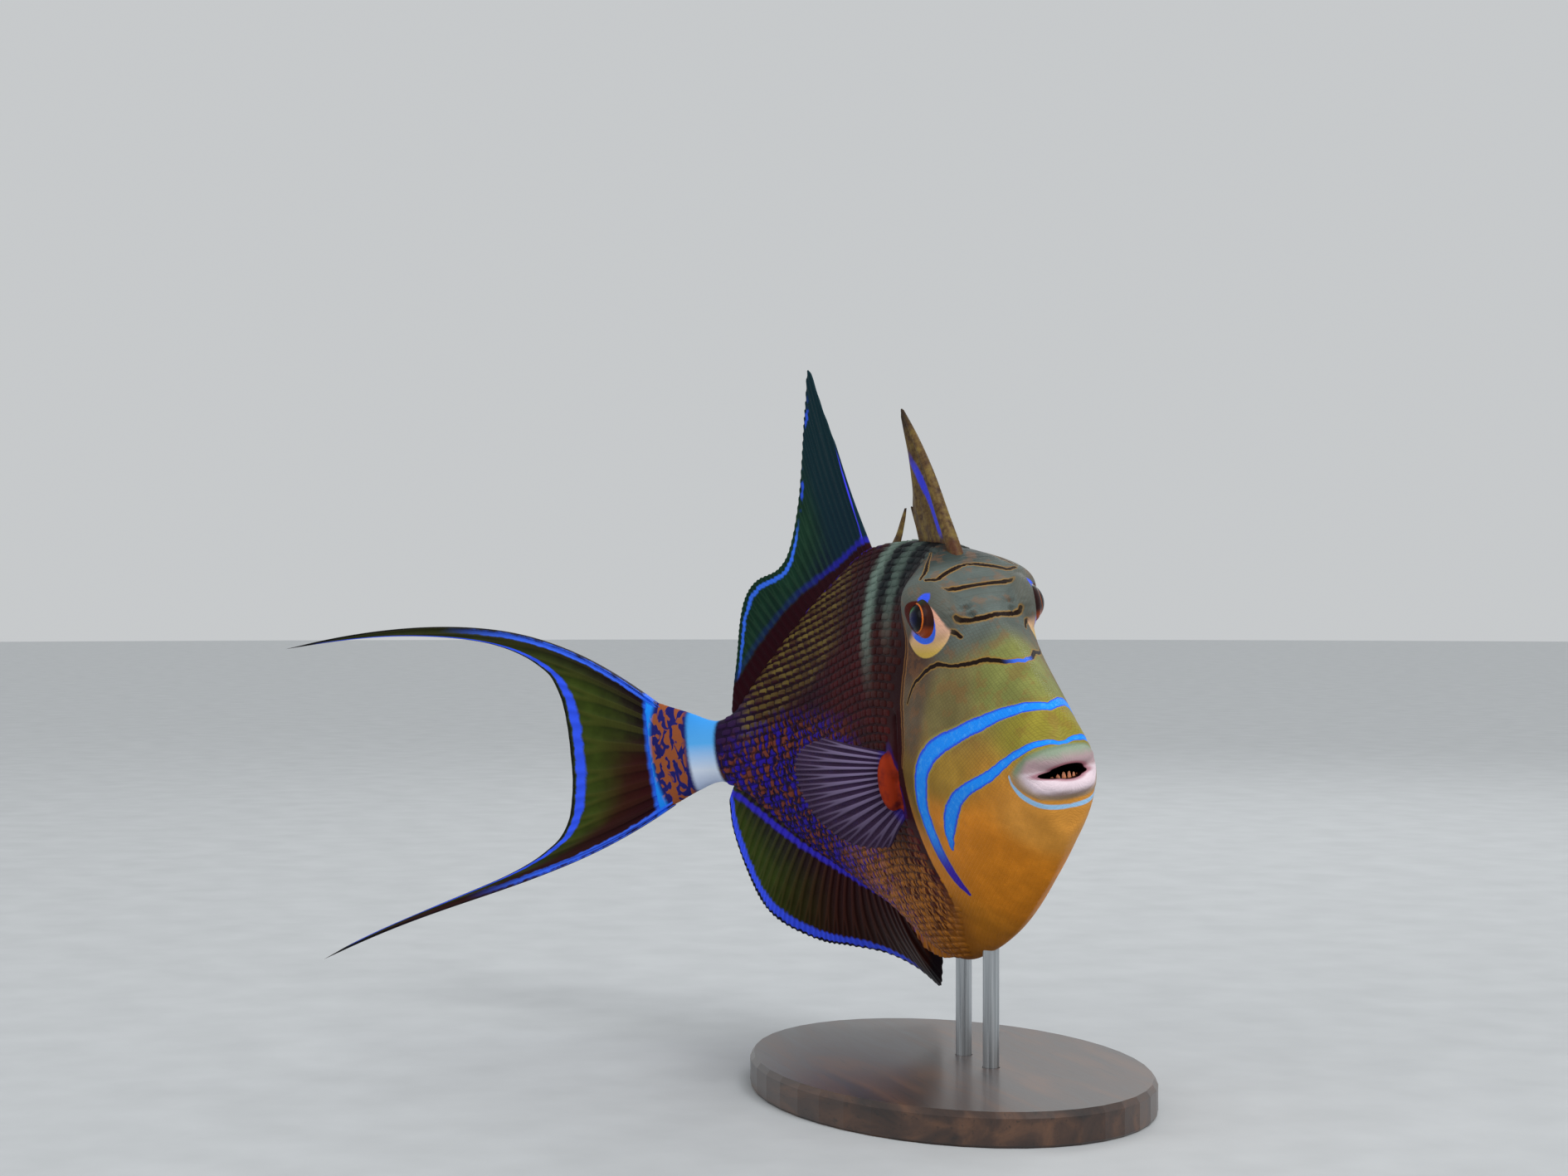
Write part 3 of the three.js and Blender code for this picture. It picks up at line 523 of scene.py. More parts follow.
def girth_table():
    """The distance along the section from its widest line, for each u and angle."""
    u, a = np.meshgrid(GIRTH_U, GIRTH_ANGLE, indexing="ij")
    _, y, z = skin_point(u, a)
    y[:, 0] = y[:, -1] = 0
    run = np.hypot(np.diff(y, axis=1), np.diff(z, axis=1))
    total = np.concatenate([np.zeros((len(GIRTH_U), 1)), np.cumsum(run, axis=1)], axis=1)
    middle = len(GIRTH_ANGLE) // 2
    return total - total[:, middle : middle + 1]


GIRTH = girth_table()


def girth(u, y, z):
    a = (wrap(u, y, z) - GIRTH_ANGLE[0]) / (GIRTH_ANGLE[1] - GIRTH_ANGLE[0])
    b = (np.clip(u, GIRTH_U[0], GIRTH_U[-1]) - GIRTH_U[0]) / (GIRTH_U[1] - GIRTH_U[0])
    i = np.clip(b.astype(int), 0, len(GIRTH_U) - 2)
    j = np.clip(a.astype(int), 0, len(GIRTH_ANGLE) - 2)
    s, t = b - i, np.clip(a - j, 0, 1)
    low = lerp(GIRTH[i, j], GIRTH[i + 1, j], s)
    high = lerp(GIRTH[i, j + 1], GIRTH[i + 1, j + 1], s)
    return lerp(low, high, t)


def srgb(code):
    """A colour code as the linear numbers that the materials use."""
    parts = np.array([code >> 16, (code >> 8) & 255, code & 255]) / 255
    return np.where(parts <= 0.04045, parts / 12.92, ((parts + 0.055) / 1.055) ** 2.4)


# The ground colours of the skin, each at home round one place of the flank: u, z, reach in u and z.
FACE_ZONES = [
    ("forehead", 0.22, 0.19, 0.06, 0.05, 0x66706C),
    ("crown", 0.31, 0.26, 0.05, 0.03, 0x3A4644),
    ("bridge", 0.12, 0.11, 0.05, 0.04, 0x8E9250),
    ("cheek", 0.2, 0.07, 0.04, 0.05, 0x84784A),
    ("gill_cover", 0.27, 0.07, 0.025, 0.06, 0x6A5A48),
    ("temple", 0.275, 0.13, 0.03, 0.03, 0x5A4238),
    ("jowl", 0.2, 0.0, 0.05, 0.035, 0xB8903A),
    ("side_jowl", 0.28, -0.02, 0.02, 0.05, 0x7E6430),
    ("muzzle", 0.07, 0.05, 0.03, 0.02, 0xA89C3C),
    ("chin", 0.07, -0.06, 0.05, 0.03, 0xF4A848),
    ("throat", 0.19, -0.11, 0.08, 0.08, 0xF0942A),
    ("breast", 0.3, -0.2, 0.06, 0.05, 0xD88A2A),
]
TRUNK_ZONES = [
    ("nape", 0.39, 0.23, 0.05, 0.04, 0x1C2426),
    ("shoulder", 0.36, 0.12, 0.05, 0.06, 0x40120E),
    ("armpit", 0.36, 0.03, 0.04, 0.05, 0x541210),
    ("flank", 0.48, 0.06, 0.09, 0.08, 0x4A1014),
    ("back", 0.6, 0.2, 0.08, 0.05, 0x380C14),
    ("loin", 0.75, 0.09, 0.09, 0.07, 0x38101C),
    ("side", 0.7, -0.08, 0.13, 0.07, 0x260E44),
    ("belly", 0.47, -0.17, 0.1, 0.06, 0x5C2C1C),
    ("vent", 0.42, -0.24, 0.08, 0.03, 0x9A5E24),
    ("collar", 0.33, -0.1, 0.03, 0.06, 0x50141E),
    ("tail_root", 0.88, -0.01, 0.03, 0.06, 0x3A1E50),
    ("tail_base", 1.02, 0.0, 0.03, 0.06, 0x3438B0),
]

# Where the face ends and the trunk begins, by height.
face_end = smooth(
    (-0.26, 0.41), (-0.248, 0.397), (-0.219, 0.358), (-0.18, 0.325), (-0.152, 0.312), (-0.116, 0.312),
    (-0.052, 0.308), (0, 0.3), (0.03, 0.294), (0.06, 0.294), (0.09, 0.297), (0.125, 0.296),
    (0.16, 0.292), (0.2, 0.294), (0.226, 0.3), (0.25, 0.33), (0.27, 0.35),
)


def ground_colour(u, z, zones):
    total = np.zeros(len(u))
    colour = np.zeros((len(u), 3))
    for _, at_u, at_z, long, tall, code in zones:
        away = ((u - at_u) / long) ** 2 + ((z - at_z) / tall) ** 2
        weight = 1 / (0.15 + away) ** 2.5
        total += weight
        colour += weight[:, None] * srgb(code)
    return colour / total[:, None]


def dress(obj):
    """Stores the fields that the skin's material reads."""
    u, y, z = keep_flat(obj)
    around = girth(u, y, z)
    inside = [sum(((c - at) / size) ** 2 for c, at, size in zip((u, y, z), *mouth)) for mouth in MOUTHS]
    keep_fields(
        obj,
        girth=around,
        from_back=np.interp(u, GIRTH_U, GIRTH[:, -1]) - around,
        face_ground=ground_colour(u, z, FACE_ZONES),
        trunk_ground=ground_colour(u, z, TRUNK_ZONES),
        past_face=u - face_end(z),
        in_mouth=np.sqrt(np.min(inside, axis=0)),
        upper_blue=from_curve(u, y, z, UPPER_BLUE),
        lower_blue=from_curve(u, y, z, LOWER_BLUE),
        lip_blue=from_curve(u, y, z, LIP_BLUE, lay=False),
        face_line=np.min([from_curve(u, y, z, line, 0.03) for line in FACE_LINES], axis=0),
        face_edge=from_curve(u, y, z, FACE_EDGE, 0.03),
    )


# Low relief of the skin

SUNK_UNDER_SCALES = 0.1
SLIT_HALF, SLIT_DEEP, SLIT_LIP, SLIT_LIP_AT = 0.004, 1.6, 0.5, 2.2
FOLD_HIGH, FOLDS = 0.16, 26
NOSTRILS = ((0.205, 0.176), (0.213, 0.185))
NOSTRIL_SIZE, NOSTRIL_RIM, NOSTRIL_DEEP = 0.0042, 0.5, 1.3


def relief(u, y, z):
    """How far the skin stands out, in metres, for its gill slit, mouth folds and nostrils."""
    out = -SUNK_UNDER_SCALES * step(0.33, 0.37, u)
    slit = [(at_u, float(side_reach(at_u, at_z)), at_z, SLIT_HALF) for at_u, at_z in GILL_SLIT]
    away = from_curve(u, y, z, slit, 0.05)
    out -= SLIT_DEEP * np.exp(-(away**2))
    out += SLIT_LIP * np.exp(-((away - SLIT_LIP_AT) ** 2)) * (u < 0.32)
    ring = np.hypot(y / 0.04, (z - 0.002) / 0.027)
    folds = np.sin(ring * FOLDS) * step(0.85, 1.05, ring) * step(1.6, 1.3, ring) * step(0.1, 0.085, u)
    out += FOLD_HIGH * folds * step(0.2, 0.8, np.abs(y) / 0.04)
    for hole_u, hole_z in NOSTRILS:
        hole = np.hypot(u - hole_u, z - hole_z) / NOSTRIL_SIZE
        shape = NOSTRIL_RIM * np.exp(-((hole - 1.3) ** 2) * 3) - NOSTRIL_DEEP * np.exp(-(hole**2) * 1.6)
        out += shape * (np.abs(y) > 0.02)
    return out * MM


move_points(skin, points_of(skin) + normals_of(skin) * relief(*unplace(points_of(skin)))[:, None])
dress(skin)
whole = np.ones(len(skin.data.vertices))
keep_fields(skin, rim=whole, lie=whole)


# The scales of the trunk: a low plate each, its rear edge raised over the next one

# Their rows fall a little towards the tail. These are their pitches along and across the rows.
SCALE_FALL = 0.12
SCALE_LONG, SCALE_TALL = 0.022, 0.0105


def from_lattice(row, column):
    """From a place in the lattice of scales to (u, girth)."""
    u = column * SCALE_LONG
    return u, row * SCALE_TALL - SCALE_FALL * u


def on_skin(u, v, lift, side):
    """The place over the skin at u and a girth v, lifted along its normal by so many metres."""

    def at(u, v):
        row = np.clip((u - GIRTH_U[0]) / (GIRTH_U[1] - GIRTH_U[0]), 0, len(GIRTH_U) - 1.001)
        i = row.astype(int)
        t = row - i
        angle = np.empty(u.shape)
        for j in np.unique(i):
            here = i == j
            low = np.interp(v[here], GIRTH[j], GIRTH_ANGLE)
            high = np.interp(v[here], GIRTH[j + 1], GIRTH_ANGLE)
            angle[here] = lerp(low, high, t[here])
        _, y, z = skin_point(u, angle)
        return place(u, side * np.abs(y), z)

    small = 0.002
    centre = at(u, v)
    normal = np.cross(at(u + small, v) - at(u - small, v), at(u, v + small) - at(u, v - small))
    normal /= np.maximum(np.linalg.norm(normal, axis=-1), 1e-12)[..., None]
    return centre + normal * (side * lift)[..., None]


ACROSS, ALONG = 6, 6
SCALE_ROWS, SCALE_COLUMNS = np.arange(-34, 44), np.arange(14, 44)
SCALES_END, SCALES_MARGIN = 0.93, 0.008
SCALE_SUNK, SCALE_LOW, SCALE_RISE, SCALE_DOME = -0.5, 0.12, 0.2, 0.06
# The flat map of the scales: its scale along u, its middle, and the sizes of each scale's patch.
MAP_LONG, MAP_MIDDLE, PATCH_LONG, PATCH_TALL = 0.44, 0.62, 0.15, 0.3


def scale_places():
    """The row and column of every scale of one flank. Odd rows are shifted by half a scale."""
    row, column = (part.ravel() for part in np.meshgrid(SCALE_ROWS, SCALE_COLUMNS, indexing="ij"))
    column = column + 0.5 * (row % 2)
    u, v = from_lattice(row, column)
    top, bottom = np.interp(u, GIRTH_U, GIRTH[:, -1]), np.interp(u, GIRTH_U, GIRTH[:, 0])
    gill = 0.318 + 0.034 * np.exp(-(((v + 0.02) / 0.07) ** 2)) + 0.08 * step(-0.2, -0.3, v)
    kept = (u > gill) & (u < SCALES_END) & (v < top - SCALES_MARGIN) & (v > bottom + SCALES_MARGIN)
    return row[kept], column[kept]


def scale_plates():
    """Both flanks' scales as closed plates, lower on the belly, each a little different."""
    chance = np.random.default_rng(7)
    p, q = np.meshgrid(np.linspace(-1, 1, ACROSS), np.linspace(-1, 1, ALONG), indexing="ij")
    across = 0.53 * p * np.sqrt(1 - 0.45 * q**2)
    along = 0.56 * q * np.sqrt(1 - 0.3 * p**2)
    edge = np.maximum(np.abs(p), np.abs(q))
    height = SCALE_LOW + SCALE_RISE * (q + 1) + SCALE_DOME * (1 - p**2)
    height = np.where(edge > 0.99, SCALE_SUNK, height)
    row, column = scale_places()
    each = len(row)
    count = ACROSS * ALONG
    faces_of_one = grid_faces(ACROSS, ALONG, False) + [border(ACROSS, ALONG)[::-1]]
    mirrored = [face[::-1] for face in faces_of_one]
    points, cells, patches = [], [], []
    for side in (1, -1):
        size = (1 + 0.06 * chance.standard_normal(each))[:, None, None]
        u, v = from_lattice(row[:, None, None] + across * size, column[:, None, None] + along * size)
        thick = height * MM * (1 + 0.15 * chance.standard_normal(each))[:, None, None]
        thick = np.where(thick > 0, thick * lerp(0.45, 1, step(-0.22, -0.1, v)), thick)
        points.append(on_skin(u, v, thick, side).reshape(-1, 3))
        cells.append(np.repeat(chance.random(each), count))
        root_u, root_v = u.mean((1, 2), keepdims=True), v.mean((1, 2), keepdims=True)
        half = 0.75 if side < 0 else 0.25
        patch_u = half + MAP_LONG * (root_u - MAP_MIDDLE) + PATCH_LONG * (u - root_u)
        patch_v = 0.5 + root_v + PATCH_TALL * (v - root_v)
        patches.append(np.stack([patch_u, patch_v], -1).reshape(-1, 2))
    faces = [
        [count * i + corner for corner in face]
        for i in range(2 * each)
        for face in (mirrored if i < each else faces_of_one)
    ]
    plates = new_object("trunk_scales", np.concatenate(points), faces)
    rim, lie = np.tile(edge.ravel(), 2 * each), np.tile(np.abs(q).ravel(), 2 * each)
    keep_fields(plates, rim=rim, lie=lie, cell=np.concatenate(cells))
    loops = np.empty(len(plates.data.loops), int)
    plates.data.loops.foreach_get("vertex_index", loops)
    layer = plates.data.uv_layers.new(name="OFBake")
    layer.data.foreach_set("uv", np.concatenate(patches)[loops].astype(np.float32).ravel())
    return plates


scales = scale_plates()
dress(scales)


# Fins


def even(t):
    return t


def fin_plate(
    name, surface, rays, per_ray, rows, ray, web, spread=even, fork=0.25, fork_at=0.35, notch=0.0
):
    """A closed plate with a raised ridge along each ray, which forks towards the margin.

    surface(a, b) gives the straight fish's place, a along the base and b out along the rays. ray and
    web are (root, tip) thicknesses in millimetres. notch draws the margin in between the ray tips.
    """
    s = np.linspace(0, rays, rays * per_ray + 1)
    b = np.linspace(0, 1, rows + 1)
    local = (s % 1)[:, None] - 0.5
    local[-1] = 0.5
    split = fork * step(fork_at, 1.0, b)[None, :]
    width = lerp(0.2, 0.13, step(fork_at, 1.0, b))[None, :]
    ridge = np.exp(-(((local - split) / width) ** 2)) + np.exp(-(((local + split) / width) ** 2))
    ridge = np.minimum(ridge, 1)
    a, out = np.meshgrid(spread(s / rays), b, indexing="ij")
    out = out * (1 - notch * (1 - ridge) * out**4)
    grid = place(*surface(a, out))
    normal = np.cross(np.gradient(grid, axis=0), np.gradient(grid, axis=1))
    normal /= np.maximum(np.linalg.norm(normal, axis=2), 1e-12)[..., None]
    thick = lerp(lerp(web[0], web[1], b), lerp(ray[0], ray[1], b), ridge)
    from_end = np.minimum(np.arange(len(s)), np.arange(len(s))[::-1])[:, None]
    taper = np.minimum(step(-0.02, 0.012, 1 - b)[None, :], from_end / 3 + 0.35)
    thick = thick * np.minimum(taper, 1) * MM / 2
    front, back = grid + normal * thick[..., None], grid - normal * thick[..., None]
    columns, line = len(s), rows + 1
    total = columns * line
    faces = np.array(grid_faces(columns, line, False))
    faces = faces.tolist() + (faces[:, ::-1] + total).tolist()
    rim = border(columns, line)
    faces += [[after, at, total + at, total + after] for at, after in zip(rim, rim[1:] + rim[:1])]
    fin = new_object(name, np.concatenate([front.reshape(-1, 3), back.reshape(-1, 3)]), faces)
    outward = np.linalg.norm(np.diff(grid, axis=1), axis=2)
    length = np.cumsum(np.concatenate([np.zeros((columns, 1)), outward], axis=1), axis=1)
    sideways = np.linalg.norm(np.diff(grid, axis=0), axis=2)
    across = np.cumsum(np.concatenate([np.zeros((1, line)), sideways], axis=0), axis=0)
    fields = {
        "from_root": length / MM,
        "from_margin": (length[:, -1:] - length) / MM,
        "from_first": across / MM,
        "ridge": ridge,
        "along": a,
        "outward": out,
    }
    keep_fields(fin, **{field: np.tile(values.ravel(), 2) for field, values in fields.items()})
    keep_flat(fin)
    return fin


ROOT_DEPTH = 0.022
FIN_BOW = 0.03


def spanned(root, margin_u, margin_y, margin_z, ripple):
    """Rays from a root line to a margin. They bow backwards, and the plate ripples a little."""

    def surface(a, b):
        from_u, from_z = root(a)
        to_u, to_y, to_z = margin_u(a), margin_y(a), margin_z(a)
        arch = np.sin(math.pi * b) * FIN_BOW
        wave = ripple * b * np.sin(a * 17) * step(0.2, 0.5, a)
        return (
            lerp(from_u, to_u, b) + arch * np.abs(to_z - from_z),
            to_y * b * (0.6 + 0.4 * b) + wave,
            lerp(from_z, to_z, b) - arch * (to_u - from_u) * np.sign(to_z - from_z),
        )

    return surface


def dorsal_root(a):
    u = lerp(0.556, 0.905, a)
    return u, top_line(u) - ROOT_DEPTH


def anal_root(a):
    u = lerp(0.615, 0.915, a)
    return u, bottom_line(u) + ROOT_DEPTH


dorsal_surface = spanned(
    dorsal_root,
    smooth(
        (0, 0.622), (0.04, 0.65), (0.07, 0.667), (0.12, 0.684), (0.2, 0.702), (0.3, 0.722),
        (0.42, 0.742), (0.5, 0.764), (0.6, 0.803), (0.68, 0.828), (0.76, 0.85), (0.86, 0.875),
        (0.94, 0.897), (1, 0.912),
    ),
    smooth((0, 0), (0.3, 0), (0.45, -0.02), (0.6, -0.03), (0.76, -0.03), (0.9, -0.015), (1, 0)),
    smooth(
        (0, 0.385), (0.04, 0.452), (0.07, 0.498), (0.12, 0.462), (0.2, 0.415), (0.3, 0.345),
        (0.42, 0.27), (0.5, 0.243), (0.6, 0.23), (0.68, 0.209), (0.76, 0.176), (0.86, 0.13),
        (0.94, 0.085), (1, 0.052),
    ),
    0.0025,
)
anal_surface = spanned(
    anal_root,
    smooth(
        (0, 0.668), (0.05, 0.695), (0.09, 0.712), (0.16, 0.735), (0.24, 0.765), (0.34, 0.805),
        (0.44, 0.838), (0.54, 0.87), (0.64, 0.895), (0.74, 0.916), (0.84, 0.932), (0.93, 0.94),
        (1, 0.938),
    ),
    smooth(
        (0, 0.09), (0.09, 0.112), (0.16, 0.1), (0.24, 0.08), (0.34, 0.055), (0.44, 0.035), (0.6, 0.006),
        (0.7, 0), (1, 0),
    ),
    smooth(
        (0, -0.3), (0.05, -0.34), (0.09, -0.347), (0.16, -0.322), (0.24, -0.3), (0.34, -0.286),
        (0.44, -0.277), (0.54, -0.256), (0.64, -0.228), (0.74, -0.195), (0.84, -0.155), (0.93, -0.11),
        (1, -0.07),
    ),
    0.0025,
)
TAIL_ROOT, TAIL_ROOT_TOP, TAIL_ROOT_BOTTOM = 1.035, 0.067, -0.074
upper_edge = smooth((0, 0.69), (0.1, 0.58), (0.2, 0.4), (0.3, 0.2), (0.42, 0.05), (0.6, -0.1))
lower_edge = smooth((0, -0.47), (0.12, -0.36), (0.22, -0.27), (0.38, -0.22), (0.6, -0.31))
tail_length = smooth(
    (0, 0.64), (0.004, 0.62), (0.012, 0.575), (0.03, 0.44), (0.06, 0.29), (0.12, 0.208), (0.2, 0.178),
    (0.33, 0.162), (0.5, 0.158), (0.67, 0.168), (0.8, 0.187), (0.88, 0.222), (0.94, 0.3), (0.975, 0.45),
    (0.99, 0.585), (0.996, 0.62), (1, 0.64),
)


TAIL_LEGS = 24


def tail_surface(a, b):
    """The rays follow the edge of the lobe that they are nearest to, in short straight legs."""
    pull = np.abs(1 - 2 * a) ** 0.8
    run = tail_length(a) * b
    u, z = np.full(a.shape, TAIL_ROOT), lerp(TAIL_ROOT_TOP, TAIL_ROOT_BOTTOM, a)
    for i in range(TAIL_LEGS):
        at = (i + 0.5) / TAIL_LEGS * run
        angle = np.where(a < 0.5, upper_edge(at), lower_edge(at)) * pull
        u = u + run / TAIL_LEGS * np.cos(angle)
        z = z + run / TAIL_LEGS * np.sin(angle)
    return u, np.zeros(a.shape), z


pectoral_length = smooth((0, 0.1), (0.15, 0.135), (0.45, 0.135), (0.75, 0.105), (1, 0.06))
pectoral_rise = smooth((0, 0.3), (0.5, -0.15), (0.8, -0.6), (1, -0.95))


def pectoral_surface(side, flare):
    def surface(a, b):
        root_z = lerp(PECTORAL_TOP, PECTORAL_BOTTOM, a)
        root_u = PECTORAL_U + 0.012 * np.sin(math.pi * a)
        reach = pectoral_length(a) * b
        level = reach * np.cos(pectoral_rise(a))
        out = flare * (1 - 0.25 * b)
        return (
            root_u + level * np.cos(out),
            side * (side_reach(root_u, root_z) - 0.012 + level * np.sin(out)),
            root_z + reach * np.sin(pectoral_rise(a)),
        )

    return surface


flap_depth = smooth((0, 0.002), (0.25, 0.01), (0.5, 0.017), (0.62, 0.019), (0.75, 0.013), (1, 0.002))


def flap_surface(a, b):
    u = lerp(0.482, 0.6, a)
    reach = (flap_depth(a) + 0.02) * b
    return u + 0.2 * reach, np.zeros(a.shape), bottom_line(u) + 0.02 - reach


def to_the_edges(t):
    """Sets the tail's rays closer towards its two edges."""
    return 0.5 - 0.5 * np.cos(math.pi * t)


FIN_THICK = ((2.4, 0.7), (1.0, 0.35))
soft_dorsal = fin_plate("soft_dorsal", dorsal_surface, 29, 10, 90, *FIN_THICK, notch=0.012)
anal = fin_plate("anal", anal_surface, 27, 10, 80, *FIN_THICK, notch=0.012)
tail_fin = fin_plate("tail_fin", tail_surface, 12, 24, 150, (2.6, 0.8), (1.0, 0.4), spread=to_the_edges)
tail_ends = tail_surface(np.array([[0.0], [1.0]]), np.linspace(0, 1, 500)[None, :])
tail_edges = place(*tail_ends).reshape(-1, 3)
to_edges = [
    np.linalg.norm(some[:, None] - tail_edges, axis=2).min(1)
    for some in np.array_split(points_of(tail_fin), 200)
]
keep_fields(tail_fin, from_side=np.concatenate(to_edges) / MM)
FLARES = (("pectoral_right", -1, 1.15), ("pectoral_left", 1, 0.45))
pectorals = [
    fin_plate(
        name, pectoral_surface(side, flare), 14, 12, 60, (1.5, 0.5), (0.5, 0.25), notch=0.03, fork_at=0.3
    )
    for name, side, flare in FLARES
]
flap = fin_plate("flap", flap_surface, 9, 10, 40, (6.0, 2.6), (4.6, 1.4), fork=0.0)


# The spiny dorsal fin


def curved(along, height):
    u, z = smooth(*along), smooth(*height)
    return lambda b: (u(b), z(b))


first_line = curved(
    [(0, 0.29), (0.18, 0.308), (0.36, 0.329), (0.55, 0.351), (0.72, 0.372), (0.86, 0.393), (1, 0.42)],
    [(0, 0.232), (0.18, 0.261), (0.36, 0.296), (0.55, 0.337), (0.72, 0.369), (0.86, 0.396), (1, 0.426)],
)
web_edge = curved(
    [(0, 0.412), (0.2, 0.424), (0.36, 0.431), (0.5, 0.422), (0.75, 0.418), (0.88, 0.421), (1, 0.423)],
    [(0, 0.232), (0.2, 0.268), (0.36, 0.3), (0.5, 0.325), (0.75, 0.368), (0.88, 0.394), (1, 0.418)],
)


def web_surface(a, b):
    front_u, front_z = first_line(b)
    rear_u, rear_z = web_edge(b)
    fold = 0.004 * np.sin(a * 7) * np.sin(math.pi * b)
    return lerp(front_u, rear_u, a), fold, lerp(front_z, rear_z, a)


SPINE_SIDES = 32


def spine(name, u, z, radius):
    """A spine with rows of coarse grains along its front, on a curve of the straight fish."""
    share = np.linspace(0, 1, len(u))
    radii = radius * (1 - 0.75 * share**2) * SL
    radii[-1] *= 0.5
    made = new_object(name, *tube(place(u, 0 * u, z), radii, SPINE_SIDES))
    keep_flat(made)
    outward = np.r_[np.repeat(share, SPINE_SIDES), 0, 1]
    around = np.r_[np.tile(np.linspace(0, 2 * math.pi, SPINE_SIDES, endpoint=False), len(u)), 0, 0]
    keep_fields(made, outward=outward)
    grains = np.abs(np.sin(outward * 130) * np.sin(around * 5)) * (outward < 0.97) * (1 - outward)
    move_points(made, points_of(made) + normals_of(made) * (SPINE_GRAIN * MM * grains)[:, None])
    return made


SPINE_GRAIN = 0.22
b = np.linspace(0, 1, 90)
first_spine = spine("first_spine", *first_line(b), 0.0085)
second_spine = spine("second_spine", lerp(0.388, 0.43, b), lerp(0.232, 0.306, b), 0.0045)
spiny_web = fin_plate("spiny_web", web_surface, 5, 14, 90, (1.4, 0.7), (0.8, 0.5), fork=0.0)

# The third spine, a broad blade: places (u, y, z), then its reach along the back and across.
BLADE = [
    (0.5, -0.005, 0.236, 0.024, 0.0045), (0.497, 0, 0.258, 0.013, 0.004),
    (0.488, 0.004, 0.274, 0.0065, 0.0035), (0.482, 0.009, 0.292, 0.0038, 0.0026),
    (0.478, 0.012, 0.304, 0.0018, 0.0012),
]
BLADE_SIDES = 28
share = np.linspace(0, 1, 40)
knots = np.linspace(0, 1, len(BLADE))
blade_u, blade_y, blade_z, blade_long, blade_wide = (
    smooth(*zip(knots, values))(share)[:, None] for values in zip(*BLADE)
)
angle = np.linspace(0, 2 * math.pi, BLADE_SIDES, endpoint=False)[None, :]
third_spine = new_object(
    "third_spine",
    *loft(place(blade_u + blade_long * np.cos(angle), blade_y + blade_wide * np.sin(angle), blade_z)),
)
keep_flat(third_spine)
keep_fields(third_spine, outward=np.r_[np.repeat(share, BLADE_SIDES), 0, 1])


# Eyes

EYE_SIDES = 96
# How much of each eye's own colour shows through a painted shade: the far eye is painted nearly all
# dark, as shade.
NEAR_EYE_UNSHADED, FAR_EYE_UNSHADED = 1.0, 0.3


def eye(name, side):
    """An eyeball whose front bulges a little, drawn round the line it looks along."""
    polar = np.r_[np.linspace(0.02, 1.3, 60), np.linspace(1.35, math.pi - 0.05, 24)][:, None]
    around = np.linspace(0, 2 * math.pi, EYE_SIDES, endpoint=False)[None, :]
    bulge = 0.05 * np.exp(-((polar / 0.55) ** 2)) - 0.02 * np.exp(-(((polar - 0.72) / 0.1) ** 2))
    out = np.sin(polar)
    local = np.stack(
        np.broadcast_arrays(side * out * np.cos(around), side * np.cos(polar), out * np.sin(around)), -1
    )
    radius = EYE_RADIUS * SL * (1 + bulge)
    middle = place(EYE_U, side * EYE_Y, EYE_Z)
    made = new_object(name, *loft(middle + turned(local * radius[..., None], -side * LOOK_TURN)))
    facing = np.concatenate([local.reshape(-1, 3), [[0, side, 0], [0, -side, 0]]])
    keep_fields(
        made,
        polar=np.r_[np.repeat(polar.ravel(), EYE_SIDES), 0, math.pi],
        facing=facing * [1, side, 1],
        vivid=np.full(len(facing), NEAR_EYE_UNSHADED if side < 0 else FAR_EYE_UNSHADED),
    )
    return made


eyes = [eye("eyeball_left", 1), eye("eyeball_right", -1)]


# Teeth

TEETH = 8
JAW_FRONT, JAW_BACK, JAW_SIDE, JAW_REACH = 0.041, 0.03, 0.022, 1.1
TOOTH_ROOT, TOOTH_BROAD, TOOTH_THICK, TOOTH_LEAN = 0.0135, 0.0031, 0.0026, 0.0016
# The length of a row's last tooth, and how much longer its middle ones are.
UPPER_LONG, LOWER_LONG = (0.003, 0.002), (0.007, 0.0085)


def tooth(k, up):
    """A chisel tooth: a rounded wedge with a worn edge."""
    t = (k + 0.5) / TEETH
    angle = lerp(-JAW_REACH, JAW_REACH, t)
    least, more = UPPER_LONG if up > 0 else LOWER_LONG
    out = np.array([-math.cos(angle) * 0.8, math.sin(angle)])
    out /= np.linalg.norm(out)
    share = np.linspace(0, 1, 12)[:, None]
    around = np.linspace(0, 2 * math.pi, 20, endpoint=False)[None, :]
    taper = np.sqrt(np.maximum(1 - share**5, 0.0)) * (1 - 0.25 * share)
    broad = TOOTH_BROAD * (1 + 0.12 * math.cos(7 * k)) * taper
    x = np.sign(np.cos(around)) * np.abs(np.cos(around)) ** 0.7 * broad
    y = np.sin(around) * TOOTH_THICK * taper * (1 - 0.45 * share) + TOOTH_LEAN * share
    u = JAW_FRONT + JAW_BACK * (1 - math.cos(angle)) - out[1] * x + out[0] * y
    v = JAW_SIDE * math.sin(angle) + out[0] * x + out[1] * y
    long = least + more * (1 - abs(2 * t - 1))
    points, faces = loft(place(u, v, up * (TOOTH_ROOT - long * share)))
    return points, faces if up > 0 else [face[::-1] for face in faces]


def tooth_row(name, up):
    made = new_object(name, *joined(*(tooth(k, up) for k in range(TEETH))))
    keep_flat(made)
    return made


teeth = [tooth_row("upper_teeth", 1), tooth_row("lower_teeth", -1)]


# Materials: a small language for node formulas


def plug(tree, slot, value):
    """Gives a node's input another node's output, a number, a vector or a colour's code."""
    if isinstance(value, Wire):
        tree.links.new(value.socket, slot)
    else:
        slot.default_value = (*srgb(value), 1) if slot.type == "RGBA" else value


